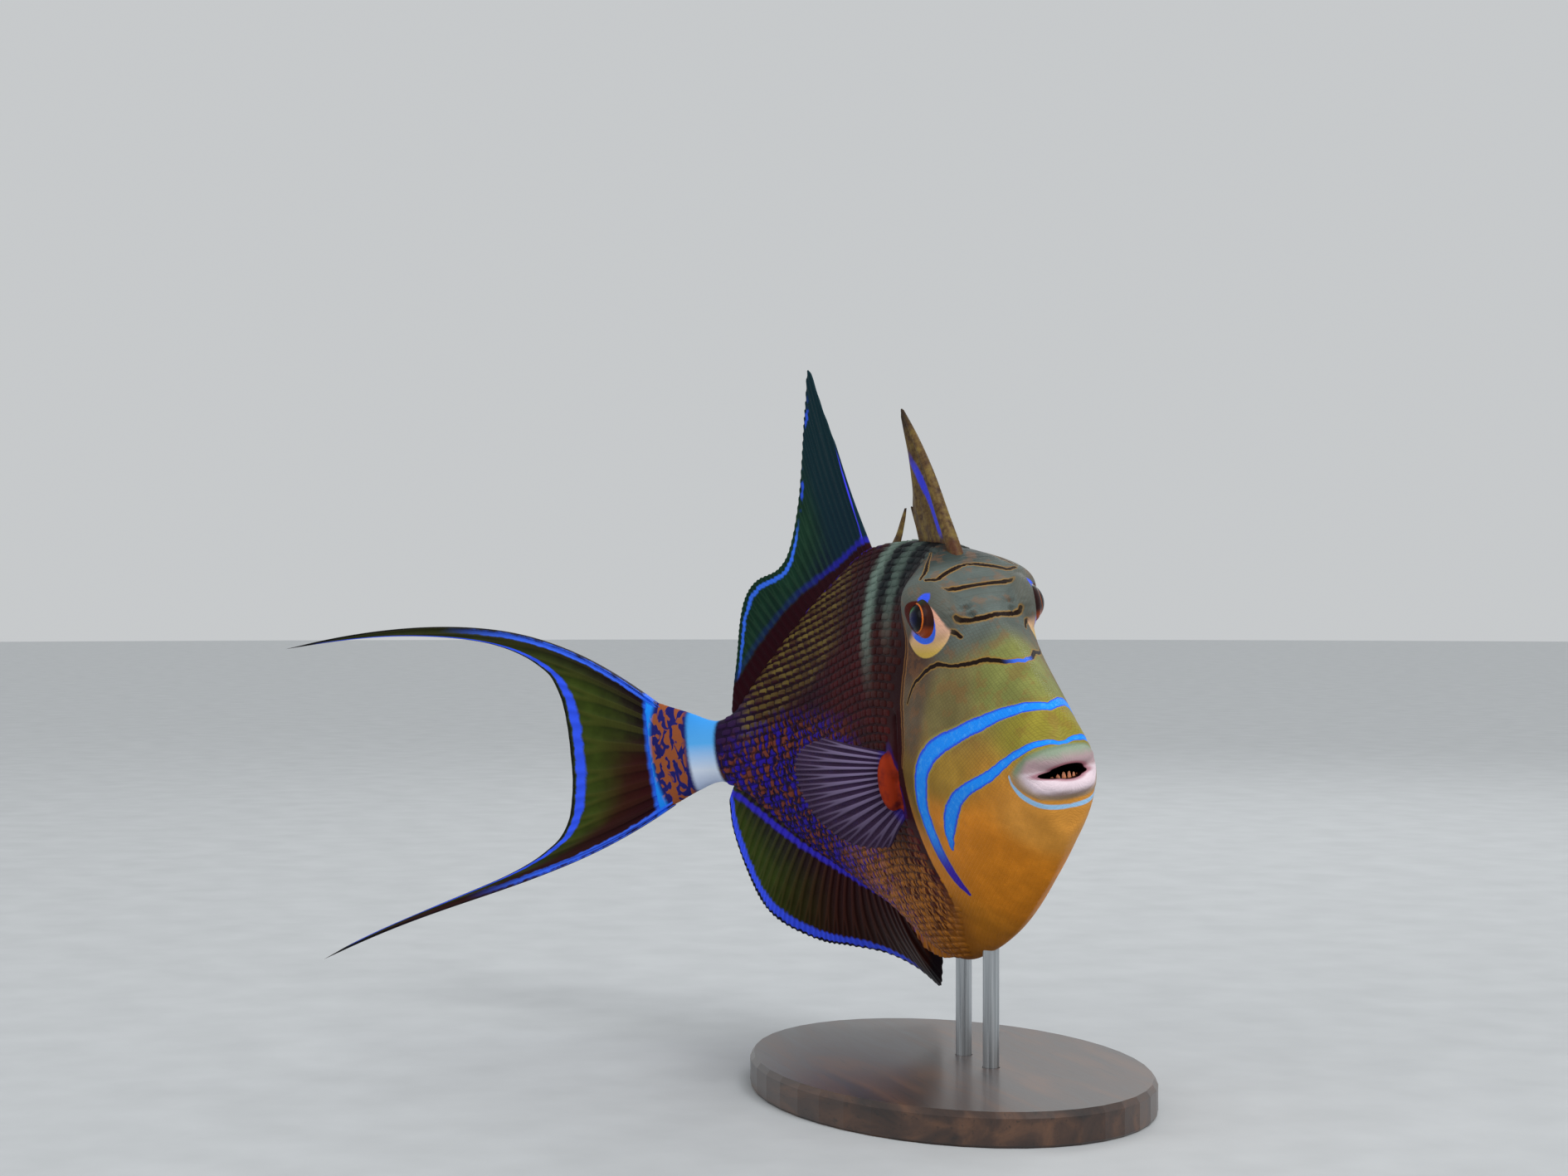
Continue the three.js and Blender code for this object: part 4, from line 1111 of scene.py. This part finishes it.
def node(tree, kind, inputs, output=0, **settings):
    """Adds a node with its settings and inputs, and returns one of its outputs."""
    made = tree.nodes.new("ShaderNode" + kind)
    for name, value in settings.items():
        setattr(made, name, value)
    for slot, value in inputs.items():
        plug(tree, made.inputs[slot], value)
    return Wire(tree, made.outputs[output])


class Wire:
    """A value in a node tree, which plain arithmetic joins up."""

    def __init__(self, tree, socket):
        self.tree = tree
        self.socket = socket

    def math(self, operation, *others):
        return node(self.tree, "Math", dict(enumerate((self, *others))), operation=operation)

    def __add__(self, other):
        return self.math("ADD", other)

    def __sub__(self, other):
        return self.math("SUBTRACT", other)

    def __mul__(self, other):
        return self.math("MULTIPLY", other)

    def __truediv__(self, other):
        return self.math("DIVIDE", other)

    def __abs__(self):
        return self.math("ABSOLUTE")

    def fit(self, by, plus):
        """The value times by, plus plus."""
        return self.math("MULTIPLY_ADD", by, plus)

    def flip(self):
        return self.fit(-1.0, 1.0)

    def between(self, low, high):
        """0 below low, 1 above high, smooth between. Low may be the greater."""
        ends = (1.0, 0.0) if low > high else (0.0, 1.0)
        slots = ("Value", "From Min", "From Max", "To Min", "To Max")
        inputs = dict(zip(slots, (self, min(low, high), max(low, high), *ends)))
        return node(self.tree, "MapRange", inputs, "Result", interpolation_type="SMOOTHSTEP")

    def within(self, low, high, gone, full):
        """A band: it rises from low to high, and is full below full and gone above gone."""
        return self.between(low, high).math("MINIMUM", self.between(gone, full))


def greater(a, b):
    return a.math("MAXIMUM", b)


def hypot(a, b):
    return (a * a + b * b).math("SQRT")


# The mix node's sockets for colours, by number.
MIX_SHARE, MIX_BELOW, MIX_ABOVE, MIX_RESULT = 0, 6, 7, 2


class Paint:
    """One node material, whose colour is built up in layers."""

    def __init__(self, name):
        self.material = bpy.data.materials.new(name)
        self.material.use_nodes = True
        self.tree = self.material.node_tree
        self.shader = self.tree.nodes["Principled BSDF"]

    def field(self, name, output="Fac"):
        return node(self.tree, "Attribute", {}, output, attribute_name=name)

    def vector(self, name):
        return self.field(name, "Vector")

    def object_place(self):
        return node(self.tree, "TexCoord", {}, "Object")

    def parts(self, vector):
        made = node(self.tree, "SeparateXYZ", {0: vector}).socket.node
        return [Wire(self.tree, socket) for socket in made.outputs]

    def bundle(self, x, y):
        return node(self.tree, "CombineXYZ", {0: x, 1: y})

    def scaled(self, vector, by):
        return node(self.tree, "VectorMath", {0: vector, 1: by}, operation="MULTIPLY")

    def noise(self, vector, scale, detail=2.0, rough=0.5, warp=0.0):
        slots = ("Vector", "Scale", "Detail", "Roughness", "Distortion")
        return node(self.tree, "TexNoise", dict(zip(slots, (vector, scale, detail, rough, warp))), "Fac")

    def mix(self, below, above, share, kind="MIX"):
        """One colour over another."""
        inputs = {MIX_SHARE: share, MIX_BELOW: below, MIX_ABOVE: above}
        return node(self.tree, "Mix", inputs, MIX_RESULT, data_type="RGBA", blend_type=kind)

    def over(self, above, share, kind="MIX"):
        """Lays a colour over the layers so far."""
        self.colour = self.mix(self.colour, above, share, kind)

    def ramp(self, value, *stops):
        """Colours along a number, as (place, colour) pairs."""
        made = node(self.tree, "ValToRGB", {0: value}, "Color")
        elements = made.socket.node.color_ramp.elements
        while len(elements) < len(stops):
            elements.new(0.5)
        for element, (at, code) in zip(elements, stops):
            element.position = at
            element.color = (*srgb(code), 1)
        return made

    def finish(self, bump=None, **values):
        """Sets the shader's inputs. A bump is a height, a distance in metres and a strength."""
        if bump:
            relief_inputs = dict(zip(("Height", "Distance", "Strength"), bump))
            values["Normal"] = node(self.tree, "Bump", relief_inputs)
        for name, value in {"Base_Color": self.colour, **values}.items():
            plug(self.tree, self.shader.inputs[name.replace("_", " ")], value)
        return self.material


# The skin's colours and markings

BRIGHT_BLUE, DEEP_BLUE, VIOLET = 0x1E90FF, 0x2A48E0, 0x3A1FB0


def skin_paint():
    p = Paint("triggerfish_skin")
    flat = p.vector("flat")
    u, y, z = p.parts(flat)
    v = p.field("girth")
    out = abs(y)
    ragged = (p.noise(flat, 260.0, 3.0, 0.6) - 0.5) * 0.9
    slow = p.noise(flat, 60.0, 3.0, 0.5) - 0.5

    past = p.field("past_face") + ragged * 0.004
    on_trunk = past.between(-0.001, 0.003)
    soft_end = z.between(-0.13, -0.2)
    on_trunk = on_trunk * soft_end.flip() + past.between(-0.05, 0.05) * soft_end
    p.colour = p.mix(p.vector("face_ground"), p.vector("trunk_ground"), on_trunk)
    patchy = p.noise(flat, 28.0, 4.0, 0.6)
    p.over(p.ramp(patchy, (0.25, 0x8C8C8C), (0.5, 0xC4C4C4), (0.75, 0xFFFFFF)), 0.5, "MULTIPLY")

    rim, cell = p.field("rim"), p.field("cell")
    first = v * 50.0 + u * 30.0
    second = u * 102.0 - v * 36.0
    row = (v + u * SCALE_FALL) / SCALE_TALL
    p.over(0x0A040A, (cell * on_trunk).between(0.3, 1.0) * 0.3)

    # Gold bars along the rows of the upper rear flank, under a dark maroon strip along the back
    lie = p.field("lie")
    from_back = p.field("from_back") + slow * 0.008
    strip_end = from_back + (u - 0.55) * 0.12
    strip = strip_end.between(0.04, 0.03) * u.between(0.5, 0.56) * u.between(0.93, 0.9)
    low = z + u * 0.41 + slow * 0.03
    gold_zone = low.between(0.35, 0.395) * strip_end.between(0.03, 0.038)
    gold_zone = gold_zone * u.between(0.5, 0.62) * u.between(0.9, 0.86)
    middle = abs((row + 0.5).math("FRACT") - 0.5)
    bars = middle.between(0.4, 0.22) * lie.between(1.0, 0.7).fit(0.5, 0.5)
    faded = p.noise(p.bundle(row, u * 24.0), 1.1, 2.0, 0.5).between(0.3, 0.6)
    gold = p.mix(0x54421C, 0x786632, cell)
    p.over(gold, gold_zone * bars * faded.fit(0.65, 0.25))
    p.over(0x2A040C, strip * 0.85)
    specks = p.noise(flat, 130.0, 2.0, 0.5).between(0.52, 0.6)
    p.over(0x2A18A8, strip * specks * from_back.between(0.03, 0.008))

    # Violet and orange mottling on the lower rear flank
    lean = p.bundle(first * 0.8, second * 0.62)
    worm = p.noise(lean, 1.5, 1.0, 0.4, 0.5)
    low_zone = low.between(0.4, 0.35) * z.between(0.07, 0.02)
    low_zone = low_zone * u.between(0.42, 0.6) * u.between(0.96, 0.93)
    p.over(0x2A16A0, worm.between(0.52, 0.57) * low_zone * 0.9)
    p.over(0x7E3E28, worm.between(0.45, 0.4) * low_zone * 0.85)

    # Brown dashes on the belly, close and fine
    belly_zone = z.between(-0.06, -0.13) * past.between(0.0, 0.03) * u.between(0.72, 0.56)
    dash = p.noise(p.bundle(first * 1.1, second * 1.7), 1.0, 1.0, 0.4, 0.3).between(0.44, 0.54)
    p.over(0xB8742C, dash * belly_zone * z.between(-0.06, -0.2).fit(0.45, 0.45))

    # Pale bars behind the head
    band = u - z * 0.3 + slow * 0.02
    pale = band.within(0.35, 0.376, 0.412, 0.385) * z.between(0.07, 0.2)
    faint = band.within(0.29, 0.308, 0.336, 0.316) * z.between(0.12, 0.2) * on_trunk
    seam_line = rim.between(0.7, 1.0) * on_trunk * z.between(-0.2, -0.1).fit(0.75, 0.1)
    p.over(0x0C040C, seam_line * 0.7)
    p.over(0x7E9488, greater(pale * 0.68, faint * 0.32))

    # The white band round the tail stalk and the maze behind it
    stalk = u + ragged * 0.004
    blue_band = stalk.within(0.934, 0.944, 0.995, 0.985)
    heights = z.fit(8.0, 0.5)
    band_colour = p.ramp(heights, (0.1, 0xB8C8E8), (0.3, 0xDCE8FA), (0.6, 0x5CB4FA), (0.9, 0x3C9CF0))
    p.over(band_colour, blue_band)
    maze = p.noise(p.scaled(flat, (1.0, 0.3, 0.7)), 95.0, 1.0, 0.4, 0.8)
    base_zone = stalk.between(0.99, 1.0)
    p.over(0x9A5430, maze.between(0.47, 0.53) * base_zone)
    tail_edge = (u + z * z * 2.6).between(1.052, 1.062)
    p.over(BRIGHT_BLUE, tail_edge)

    # The face
    face = on_trunk.flip()
    grains = [abs(slant.math("FRACT") - 0.5) for slant in (u * 150.0 + v * 190.0, u * 150.0 - v * 190.0)]
    face_grain = greater(*grains).between(0.3, 0.5)
    p.over(0x4A3A28, face_grain * face * z.between(-0.06, 0.02) * 0.2)
    blush = p.noise(flat, 46.0, 3.0, 0.6).between(0.5, 0.62)
    p.over(0x8A5A34, blush * face * z.between(0.0, 0.06) * 0.3)

    line = p.field("face_line") + ragged * 0.7
    edge = p.field("face_edge") + ragged * 0.7
    p.over(0x9A7434, line.between(2.3, 1.5) * 0.7)
    p.over(0x9A6A38, edge.between(2.4, 1.3) * 0.6)
    dark = line.between(1.35, 0.95)
    to_blue = out.between(0.02, 0.006) * z.between(0.14, 0.13)
    p.over(p.mix(0x1C0F0A, 0x3C6CE0, to_blue), dark)
    p.over(0x34180E, edge.between(1.1, 0.7) * 0.9)

    for name, wave in (("upper_blue", 0.28), ("lower_blue", 0.32)):
        away = p.field(name) + ragged * wave
        p.over(0xA8A050, away.between(1.35, 1.05) * 0.5)
        inner = p.mix(BRIGHT_BLUE, 0x58B0FF, p.noise(flat, 170.0, 3.0, 0.6).between(0.5, 0.68) * 0.45)
        inner = p.mix(inner, DEEP_BLUE, away.between(0.55, 0.95))
        inner = p.mix(inner, VIOLET, z.between(-0.07, -0.125))
        p.over(inner, away.between(1.06, 0.92))
    lip_away = p.field("lip_blue") + ragged * 0.3
    p.over(0x9CC8EE, lip_away.between(1.3, 0.7))

    # Round the mouth: a grey-green upper lip, a pinkish lower lip whose pale top is partly a painted
    # highlight, a purple rim and painted shade inside the mouth
    muzzle = z * z * 900.0 + greater(u - 0.03, 0.0) * 22.0 + slow * 0.15
    rim_green = p.mix(0x9A8268, 0x7E8E72, z.between(-0.006, 0.008))
    p.over(rim_green, muzzle.between(1.15, 0.9))
    upper = p.mix(0xB89CA0, 0x8E9C88, (z + slow * 0.012).between(0.012, 0.026))
    # The lower lip is pinkish, with a painted highlight: it is palest along its top and darker below.
    lower = p.mix(0xE8D4DC, 0xA8908C, (z + slow * 0.008).between(-0.016, -0.026))
    p.over(p.mix(lower, upper, z.between(0.0, 0.006)), muzzle.between(0.95, 0.55))
    lips = p.field("in_mouth")
    p.over(0x9A4A5C, lips.between(1.5, 1.12) * u.between(0.1, 0.08) * 0.75)
    # Painted shade: the skin inside the mouth's hollow is painted near black.
    p.over(0x160306, lips.between(1.1, 1.02))

    # Round the eyes: pink and yellow below and in front, with blue inside
    eye_u, eye_z = (u - EYE_U) * -1.0, z - EYE_Z
    reach = hypot(eye_u, eye_z) + ragged * 0.001
    side_on = out.between(0.033, 0.043)
    right = y.between(0.02, -0.02)
    below = (eye_u * 0.75 - eye_z) * right + (eye_z * -1.0 - 0.016) * right.flip()
    below = below.between(-0.004, 0.01)
    pale_reach = hypot(eye_u + 0.001, eye_z + 0.012) + ragged * 0.0015
    blue_reach = hypot(eye_u, eye_z + 0.004) + ragged * 0.001
    around = reach.between(0.044, 0.038) * side_on
    p.over(0x5E5444, around * 0.3)
    pale_ring = p.ramp(eye_z.fit(12.0, 0.7), (0.2, 0xC8A850), (0.5, 0xE8B89C), (0.8, 0xE8A890))
    p.over(pale_ring, pale_reach.between(0.0355, 0.0335) * below * side_on)
    p.over(0x3C6CF0, blue_reach.between(0.0272, 0.0258) * below * side_on)
    p.over(0x4A1810, reach.between(0.0222, 0.0208) * side_on)
    spot = hypot(u - 0.242, z - 0.2) + ragged * 0.004
    p.over(0x3C5CF0, spot.between(0.0085, 0.006) * side_on)

    # The fleshy root of the pectoral fin
    pad = hypot((u - PECTORAL_U - 0.006) * 55.0, (z - PECTORAL_Z) * 24.0) + ragged * 0.12
    p.over(0x321458, pad.between(1.25, 1.0))
    p.over(p.mix(0x9A3014, 0x5C1A1C, slow.between(-0.1, 0.2)), pad.between(0.95, 0.8))

    rough = p.noise(flat, 90.0).fit(0.2, 0.36)
    height = face_grain.flip() * face * 0.3 + p.noise(flat, 420.0, 3.0, 0.6) * 0.35
    return p.finish(
        (height, 0.0004, 0.5), Roughness=rough + on_trunk * 0.12, Coat_Weight=0.02,
        Coat_Roughness=0.3, Specular_IOR_Level=0.06,
    )


class FinPaint(Paint):
    """A fin's membrane and rays, and the fields that its bands follow, in millimetres."""

    def __init__(self, name, body_colour, root_colour, ray_colour):
        super().__init__(name)
        self.flat = self.vector("flat")
        self.ridge, self.root, self.margin = map(self.field, ("ridge", "from_root", "from_margin"))
        self.along, self.out = self.field("along"), self.field("outward")
        self.wobble = self.noise(self.flat, 70.0, 3.0, 0.6) - 0.5
        spread = (self.out + self.wobble * 0.3).between(0.1, 0.75)
        self.colour = self.mix(root_colour, body_colour, spread)
        cloudy = self.ramp(self.noise(self.flat, 34.0, 3.0), (0.3, 0x787878), (0.7, 0xF4F4F4))
        self.over(cloudy, 0.5, "MULTIPLY")
        joints = (self.root * 0.6 + self.along * 3.0).math("FRACT").between(0.85, 0.97)
        self.over(ray_colour, self.ridge.between(0.45, 0.95) * 0.4 * joints.fit(-0.5, 1.0))

    def finish_fin(self, rough, **values):
        height = self.ridge * 0.6 + self.noise(self.flat, 380.0, 2.0) * 0.4
        return self.finish(
            (height, 0.0003, 0.5), Roughness=rough, Coat_Roughness=0.3, Specular_IOR_Level=0.06, **values
        )


def dorsal_paint():
    p = FinPaint("soft_dorsal_fin", 0x1A3C2C, 0x101838, 0x2E4C38)
    along = p.along
    p.over(0x0C2A36, along.between(0.32, 0.2) * 0.85)
    first = p.field("from_first") + p.wobble * 1.5
    lead = first.within(2.6, 3.8, 7.0, 5.6) * p.out.between(0.99, 0.8)
    p.over(0x4A48FF, lead * along.between(0.3, 0.2))
    edge = p.margin + p.wobble * 2.5
    rear = edge.within(1.6, 2.4, 4.2, 3.2) * along.between(0.34, 0.4) * along.between(0.97, 0.8)
    p.over(0x3E78FF, rear)
    dashes = edge.within(1.2, 2.2, 5.0, 3.8) * along.between(0.1, 0.14) * along.between(0.34, 0.3)
    broken = p.noise(p.scaled(p.flat, (1, 1, 2.2)), 18.0).between(0.48, 0.54)
    p.over(0x2F55D8, dashes * broken)
    base = p.root + p.wobble * 2.0 - along.between(0.2, 0.6) * 3.0
    p.over(0x2A0610, base.between(11.0, 9.0))
    p.over(0x2A22B0, base.within(9.5, 10.8, 13.4, 11.4) * along.between(0.6, 0.15).fit(0.6, 0.15))
    return p.finish_fin(0.48)


def anal_paint():
    p = FinPaint("anal_fin", 0x3A4A16, 0x240E28, 0x4A4A22)
    p.over(p.mix(0x2A0408, 0x3E1410, p.ridge.between(0.5, 1.0)), p.along.between(0.75, 0.35) * 0.94)
    edge = p.margin + p.wobble * 3.0
    p.over(0x3E58FF, edge.within(0.8, 1.8, 6.0, 4.2) * p.along.between(0.12, 0.2))
    p.over(0x101024, edge.between(1.6, 0.6))
    p.over(0x140810, p.along.between(0.16, 0.1) * edge.between(14.0, 8.0))
    p.over(0x3830D0, (p.root + p.wobble * 2.5).within(7.0, 8.2, 11.4, 9.6) * 0.9)
    return p.finish_fin(0.48)


def tail_paint():
    p = FinPaint("tail_fin", 0x3C4A16, 0x200C14, 0x4A4A1C)
    side = p.field("from_side")
    p.over(0x34080C, p.along.between(0.3, 0.58) * p.margin.between(9.0, 32.0) * 0.85)
    p.over(0x1C0A14, side.between(12.0, 4.0) * 0.5)
    edge = p.margin + p.wobble * 3.0
    p.over(0x3458F4, edge.within(1.6, 2.6, 7.4, 5.8) * side.between(0.6, 1.6))
    stripe = (side + p.wobble * 1.4).within(0.8, 1.4, 3.1, 2.4) * p.root.between(115.0, 70.0)
    p.over(0x3E70FF, stripe * 0.92)
    p.over(0x0E0C14, greater(side.between(1.2, 0.6), edge.between(2.0, 0.8)) * 0.85)
    p.over(0x2A6CF0, p.root.within(3.0, 5.0, 11.0, 8.5))
    return p.finish_fin(0.45)


def pectoral_paint():
    p = FinPaint("pectoral_fin", 0x3E2C48, 0x3A2448, 0x5E5068)
    pale = p.out.between(1.1, 0.35) * p.along.between(0.9, 0.2).fit(0.5, 0.35)
    p.over(0x8E80A4, p.ridge.between(0.4, 1.0) * pale * 0.85)
    p.over(0x3A2890, (p.root + p.wobble).between(9.0, 6.0) * 0.8)
    return p.finish_fin(0.42, Alpha=p.ridge.between(0.0, 0.7).fit(0.2, 0.8))


def spine_paint(name, striped):
    p = Paint(name)
    flat = p.vector("flat")
    out = p.field("outward")
    patch = p.noise(flat, 110.0, 3.0, 0.65)
    p.colour = p.ramp(patch, (0.3, 0x3A261A), (0.48, 0x5C4628), (0.65, 0x74602F))
    p.over(0x241812, out.between(0.82, 0.97) * 0.8)
    _, _, z = p.parts(flat)
    p.over(0x4A1A14, z.between(0.266, 0.258) * 0.5)
    if striped:
        first = p.field("from_first") + (patch - 0.5) * 1.5
        stripe = first.within(7.6, 8.6, 12.0, 10.8) * out.between(0.8, 0.6) * z.between(0.262, 0.275)
        p.over(0x3A40D8, stripe)
    return p.finish((p.noise(flat, 300.0, 3.0), 0.0004, 0.6), Roughness=0.5, Specular_IOR_Level=0.15)


def eye_paint():
    p = Paint("fish_eye")
    polar = p.field("polar")
    facing = p.vector("facing")
    x, _, z = p.parts(facing)
    ragged = p.noise(facing, 14.0, 4.0, 0.65) - 0.5
    away = polar + ragged * 0.05 - z * 0.14 - x * 0.06
    p.colour = p.ramp(
        away * 0.5, (0.0, 0x08124A), (0.12, 0x040A30), (0.22, 0x020208), (0.3, 0x080204),
        (0.31, 0xB8481A), (0.325, 0xE8842A), (0.34, 0x5A180C), (0.36, 0x2A0C08), (0.42, 0x3A1810),
        (0.6, 0x2A1410),
    )
    # Painted shade: on the far eye the colours inside the outer ring are mostly replaced by a dark
    # red-black.
    p.colour = p.mix(0x1A0608, p.colour, greater(p.field("vivid"), away.between(0.6, 0.56)))
    lower = (z * -1.0 - x * 0.3).between(0.0, 0.4)
    p.over(0x9A4016, away.between(0.64, 0.7) * lower * 0.9)
    upper = (z - x * 0.6).between(0.1, 0.5)
    p.over(0x1A2A1A, away.between(0.62, 0.7) * upper * 0.8)
    glint = (z - x * 0.8).between(0.2, 0.5) * polar.between(0.62, 0.4)
    p.over(0x1C7A34, glint * 0.6)
    gloss = away.between(1.0, 0.85)
    return p.finish(
        (p.noise(facing, 30.0, 4.0), 0.0002, 0.3), Roughness=gloss.fit(-0.3, 0.45),
        Specular_IOR_Level=0.1, Coat_Weight=gloss * 0.22, Coat_Roughness=0.03, Coat_IOR=1.3,
    )


def tooth_paint():
    p = Paint("tooth")
    flat = p.vector("flat")
    _, _, z = p.parts(flat)
    p.colour = p.ramp(p.noise(flat, 300.0, 3.0), (0.3, 0xD8784C), (0.7, 0xF2A47C))
    p.over(0xC86A4A, abs(z).between(0.006, 0.0105))
    return p.finish(
        (p.noise(flat, 600.0, 3.0), 0.0002, 0.4), Roughness=0.28, Coat_Weight=0.4,
        Subsurface_Weight=0.15, Subsurface_Scale=0.002,
    )


def wood_paint():
    p = Paint("dark_wood")
    at = p.object_place()
    rings = p.noise(p.scaled(at, (4.0, 26.0, 26.0)), 3.2, 6.0, 0.55, 0.9)
    pores = p.noise(p.scaled(at, (30.0, 420.0, 420.0)), 1.4, 3.0, 0.6)
    p.colour = p.ramp(rings, (0.3, 0x1F1410), (0.5, 0x3B261B), (0.7, 0x5A3C28))
    p.over(0x0F0A08, pores.between(0.58, 0.72) * 0.6)
    bump = (pores * 0.6 + rings * 0.4, 0.0002, 0.35)
    return p.finish(bump, Roughness=rings.fit(0.2, 0.3), Coat_Weight=0.35, Coat_Roughness=0.18)


def steel_paint():
    p = Paint("brushed_steel")
    brushed = p.noise(p.scaled(p.object_place(), (900.0, 900.0, 14.0)), 1.0, 3.0, 0.6)
    p.colour = p.ramp(brushed, (0.3, 0x8E9296), (0.7, 0xC9CDD0))
    return p.finish((brushed, 0.0001, 0.3), Metallic=1.0, Roughness=brushed.fit(0.25, 0.2))


def paint(material, *objects):
    for obj in objects:
        obj.data.materials.clear()
        obj.data.materials.append(material)


def repaint(material, *names):
    """Gives nodes of the part another material."""
    for name in names:
        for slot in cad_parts[name].material_slots:
            slot.link = "OBJECT"
            slot.material = material


dress(flap)
paint(skin_paint(), skin, scales, flap)
paint(dorsal_paint(), soft_dorsal)
paint(anal_paint(), anal)
paint(tail_paint(), tail_fin)
paint(pectoral_paint(), *pectorals)
paint(spine_paint("spine", False), first_spine, second_spine, third_spine)
paint(spine_paint("spiny_web", True), spiny_web)
paint(eye_paint(), *eyes)
paint(tooth_paint(), *teeth)
repaint(steel_paint(), "stand_rod_front", "stand_rod_rear")
repaint(wood_paint(), "stand_base")

PIECES = [
    (skin, "body_skin", ("head", "trunk", "tail_stalk")),
    (scales, "body_skin", ("trunk",)),
    (eyes[0], "eye", ("eye_left",)),
    (eyes[1], "eye", ("eye_right",)),
    (teeth[0], "tooth", ("teeth_upper",)),
    (teeth[1], "tooth", ("teeth_lower",)),
    (first_spine, "spine", ("spiny_dorsal_fin",)),
    (second_spine, "spine", ("spiny_dorsal_fin",)),
    (spiny_web, "spine", ("spiny_dorsal_fin",)),
    (third_spine, "spine", ("third_dorsal_spine",)),
    (soft_dorsal, "fin", ("soft_dorsal_fin",)),
    (anal, "fin", ("anal_fin",)),
    (tail_fin, "fin", ("tail_fin_upper", "tail_fin_lower")),
    (pectorals[0], "pectoral", ("pectoral_fin_right",)),
    (pectorals[1], "pectoral", ("pectoral_fin_left",)),
    (flap, "body_skin", ("pelvic_flap",)),
]
for piece, slot_name, nodes in PIECES:
    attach(piece, "root")
    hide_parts(*nodes)


# The floor, the light and the camera


def floor_paint():
    p = Paint("studio_floor")
    speck = p.noise(p.object_place(), 30.0, 4.0)
    p.colour = p.ramp(speck, (0.3, 0xB2B5B7), (0.7, 0xBABDBF))
    return p.finish(Roughness=0.85)


FLOOR_RADIUS, FLOOR_SIDES = 9.0, 96
around = np.linspace(0, 2 * math.pi, FLOOR_SIDES, endpoint=False)
disc = np.stack([FLOOR_RADIUS * np.cos(around), FLOOR_RADIUS * np.sin(around), 0 * around], -1)
floor = new_object("studio_floor", disc, [list(range(FLOOR_SIDES))])
paint(floor_paint(), floor)

world = bpy.data.worlds.new("studio")
bpy.context.scene.world = world
world.use_nodes = True
background = world.node_tree.nodes["Background"].inputs
background["Color"].default_value = (*srgb(0xE9ECEE), 1)
background["Strength"].default_value = 0.7


def in_scene(name, data, at, along):
    """Puts a lamp or a camera into the scene, facing along a direction."""
    obj = bpy.data.objects.new(name, data)
    obj.location = at
    obj.rotation_euler = Vector(along).to_track_quat("-Z", "Y").to_euler()
    bpy.context.scene.collection.objects.link(obj)
    return obj


# Each softbox: where it stands, its size in metres and its power in watts.
MIDDLE = Vector((-0.03, -0.02, 0.14))
SOFTBOXES = {
    "key": ((1.3, 0.45, 1.3), 0.8, 9),
    "fill": ((0.5, -1.6, 0.8), 1.2, 5),
    "back": ((-1.2, 0.8, 1.2), 0.8, 5),
}
for name, (at, size, power) in SOFTBOXES.items():
    light = bpy.data.lights.new(name, "AREA")
    light.shape = "DISK"
    light.size = size
    light.energy = power
    in_scene(name, light, at, MIDDLE - Vector(at))
sky = bpy.data.lights.new("sky", "SUN")
sky.energy = 1.1
sky.angle = math.radians(30)
in_scene("sky", sky, (0, 0, 0), (-0.55, -0.1, -0.66))
bpy.context.scene.view_settings.view_transform = "Standard"

CAMERA_AT = (0.9614, -0.3492, 0.1867)
CAMERA_LOOK = (-0.9585, 0.2850, 0.0)
lens = bpy.data.cameras.new("photo_view")
lens.sensor_width = 36
lens.lens = 63.37
bpy.context.scene.camera = in_scene("photo_view", lens, CAMERA_AT, CAMERA_LOOK)
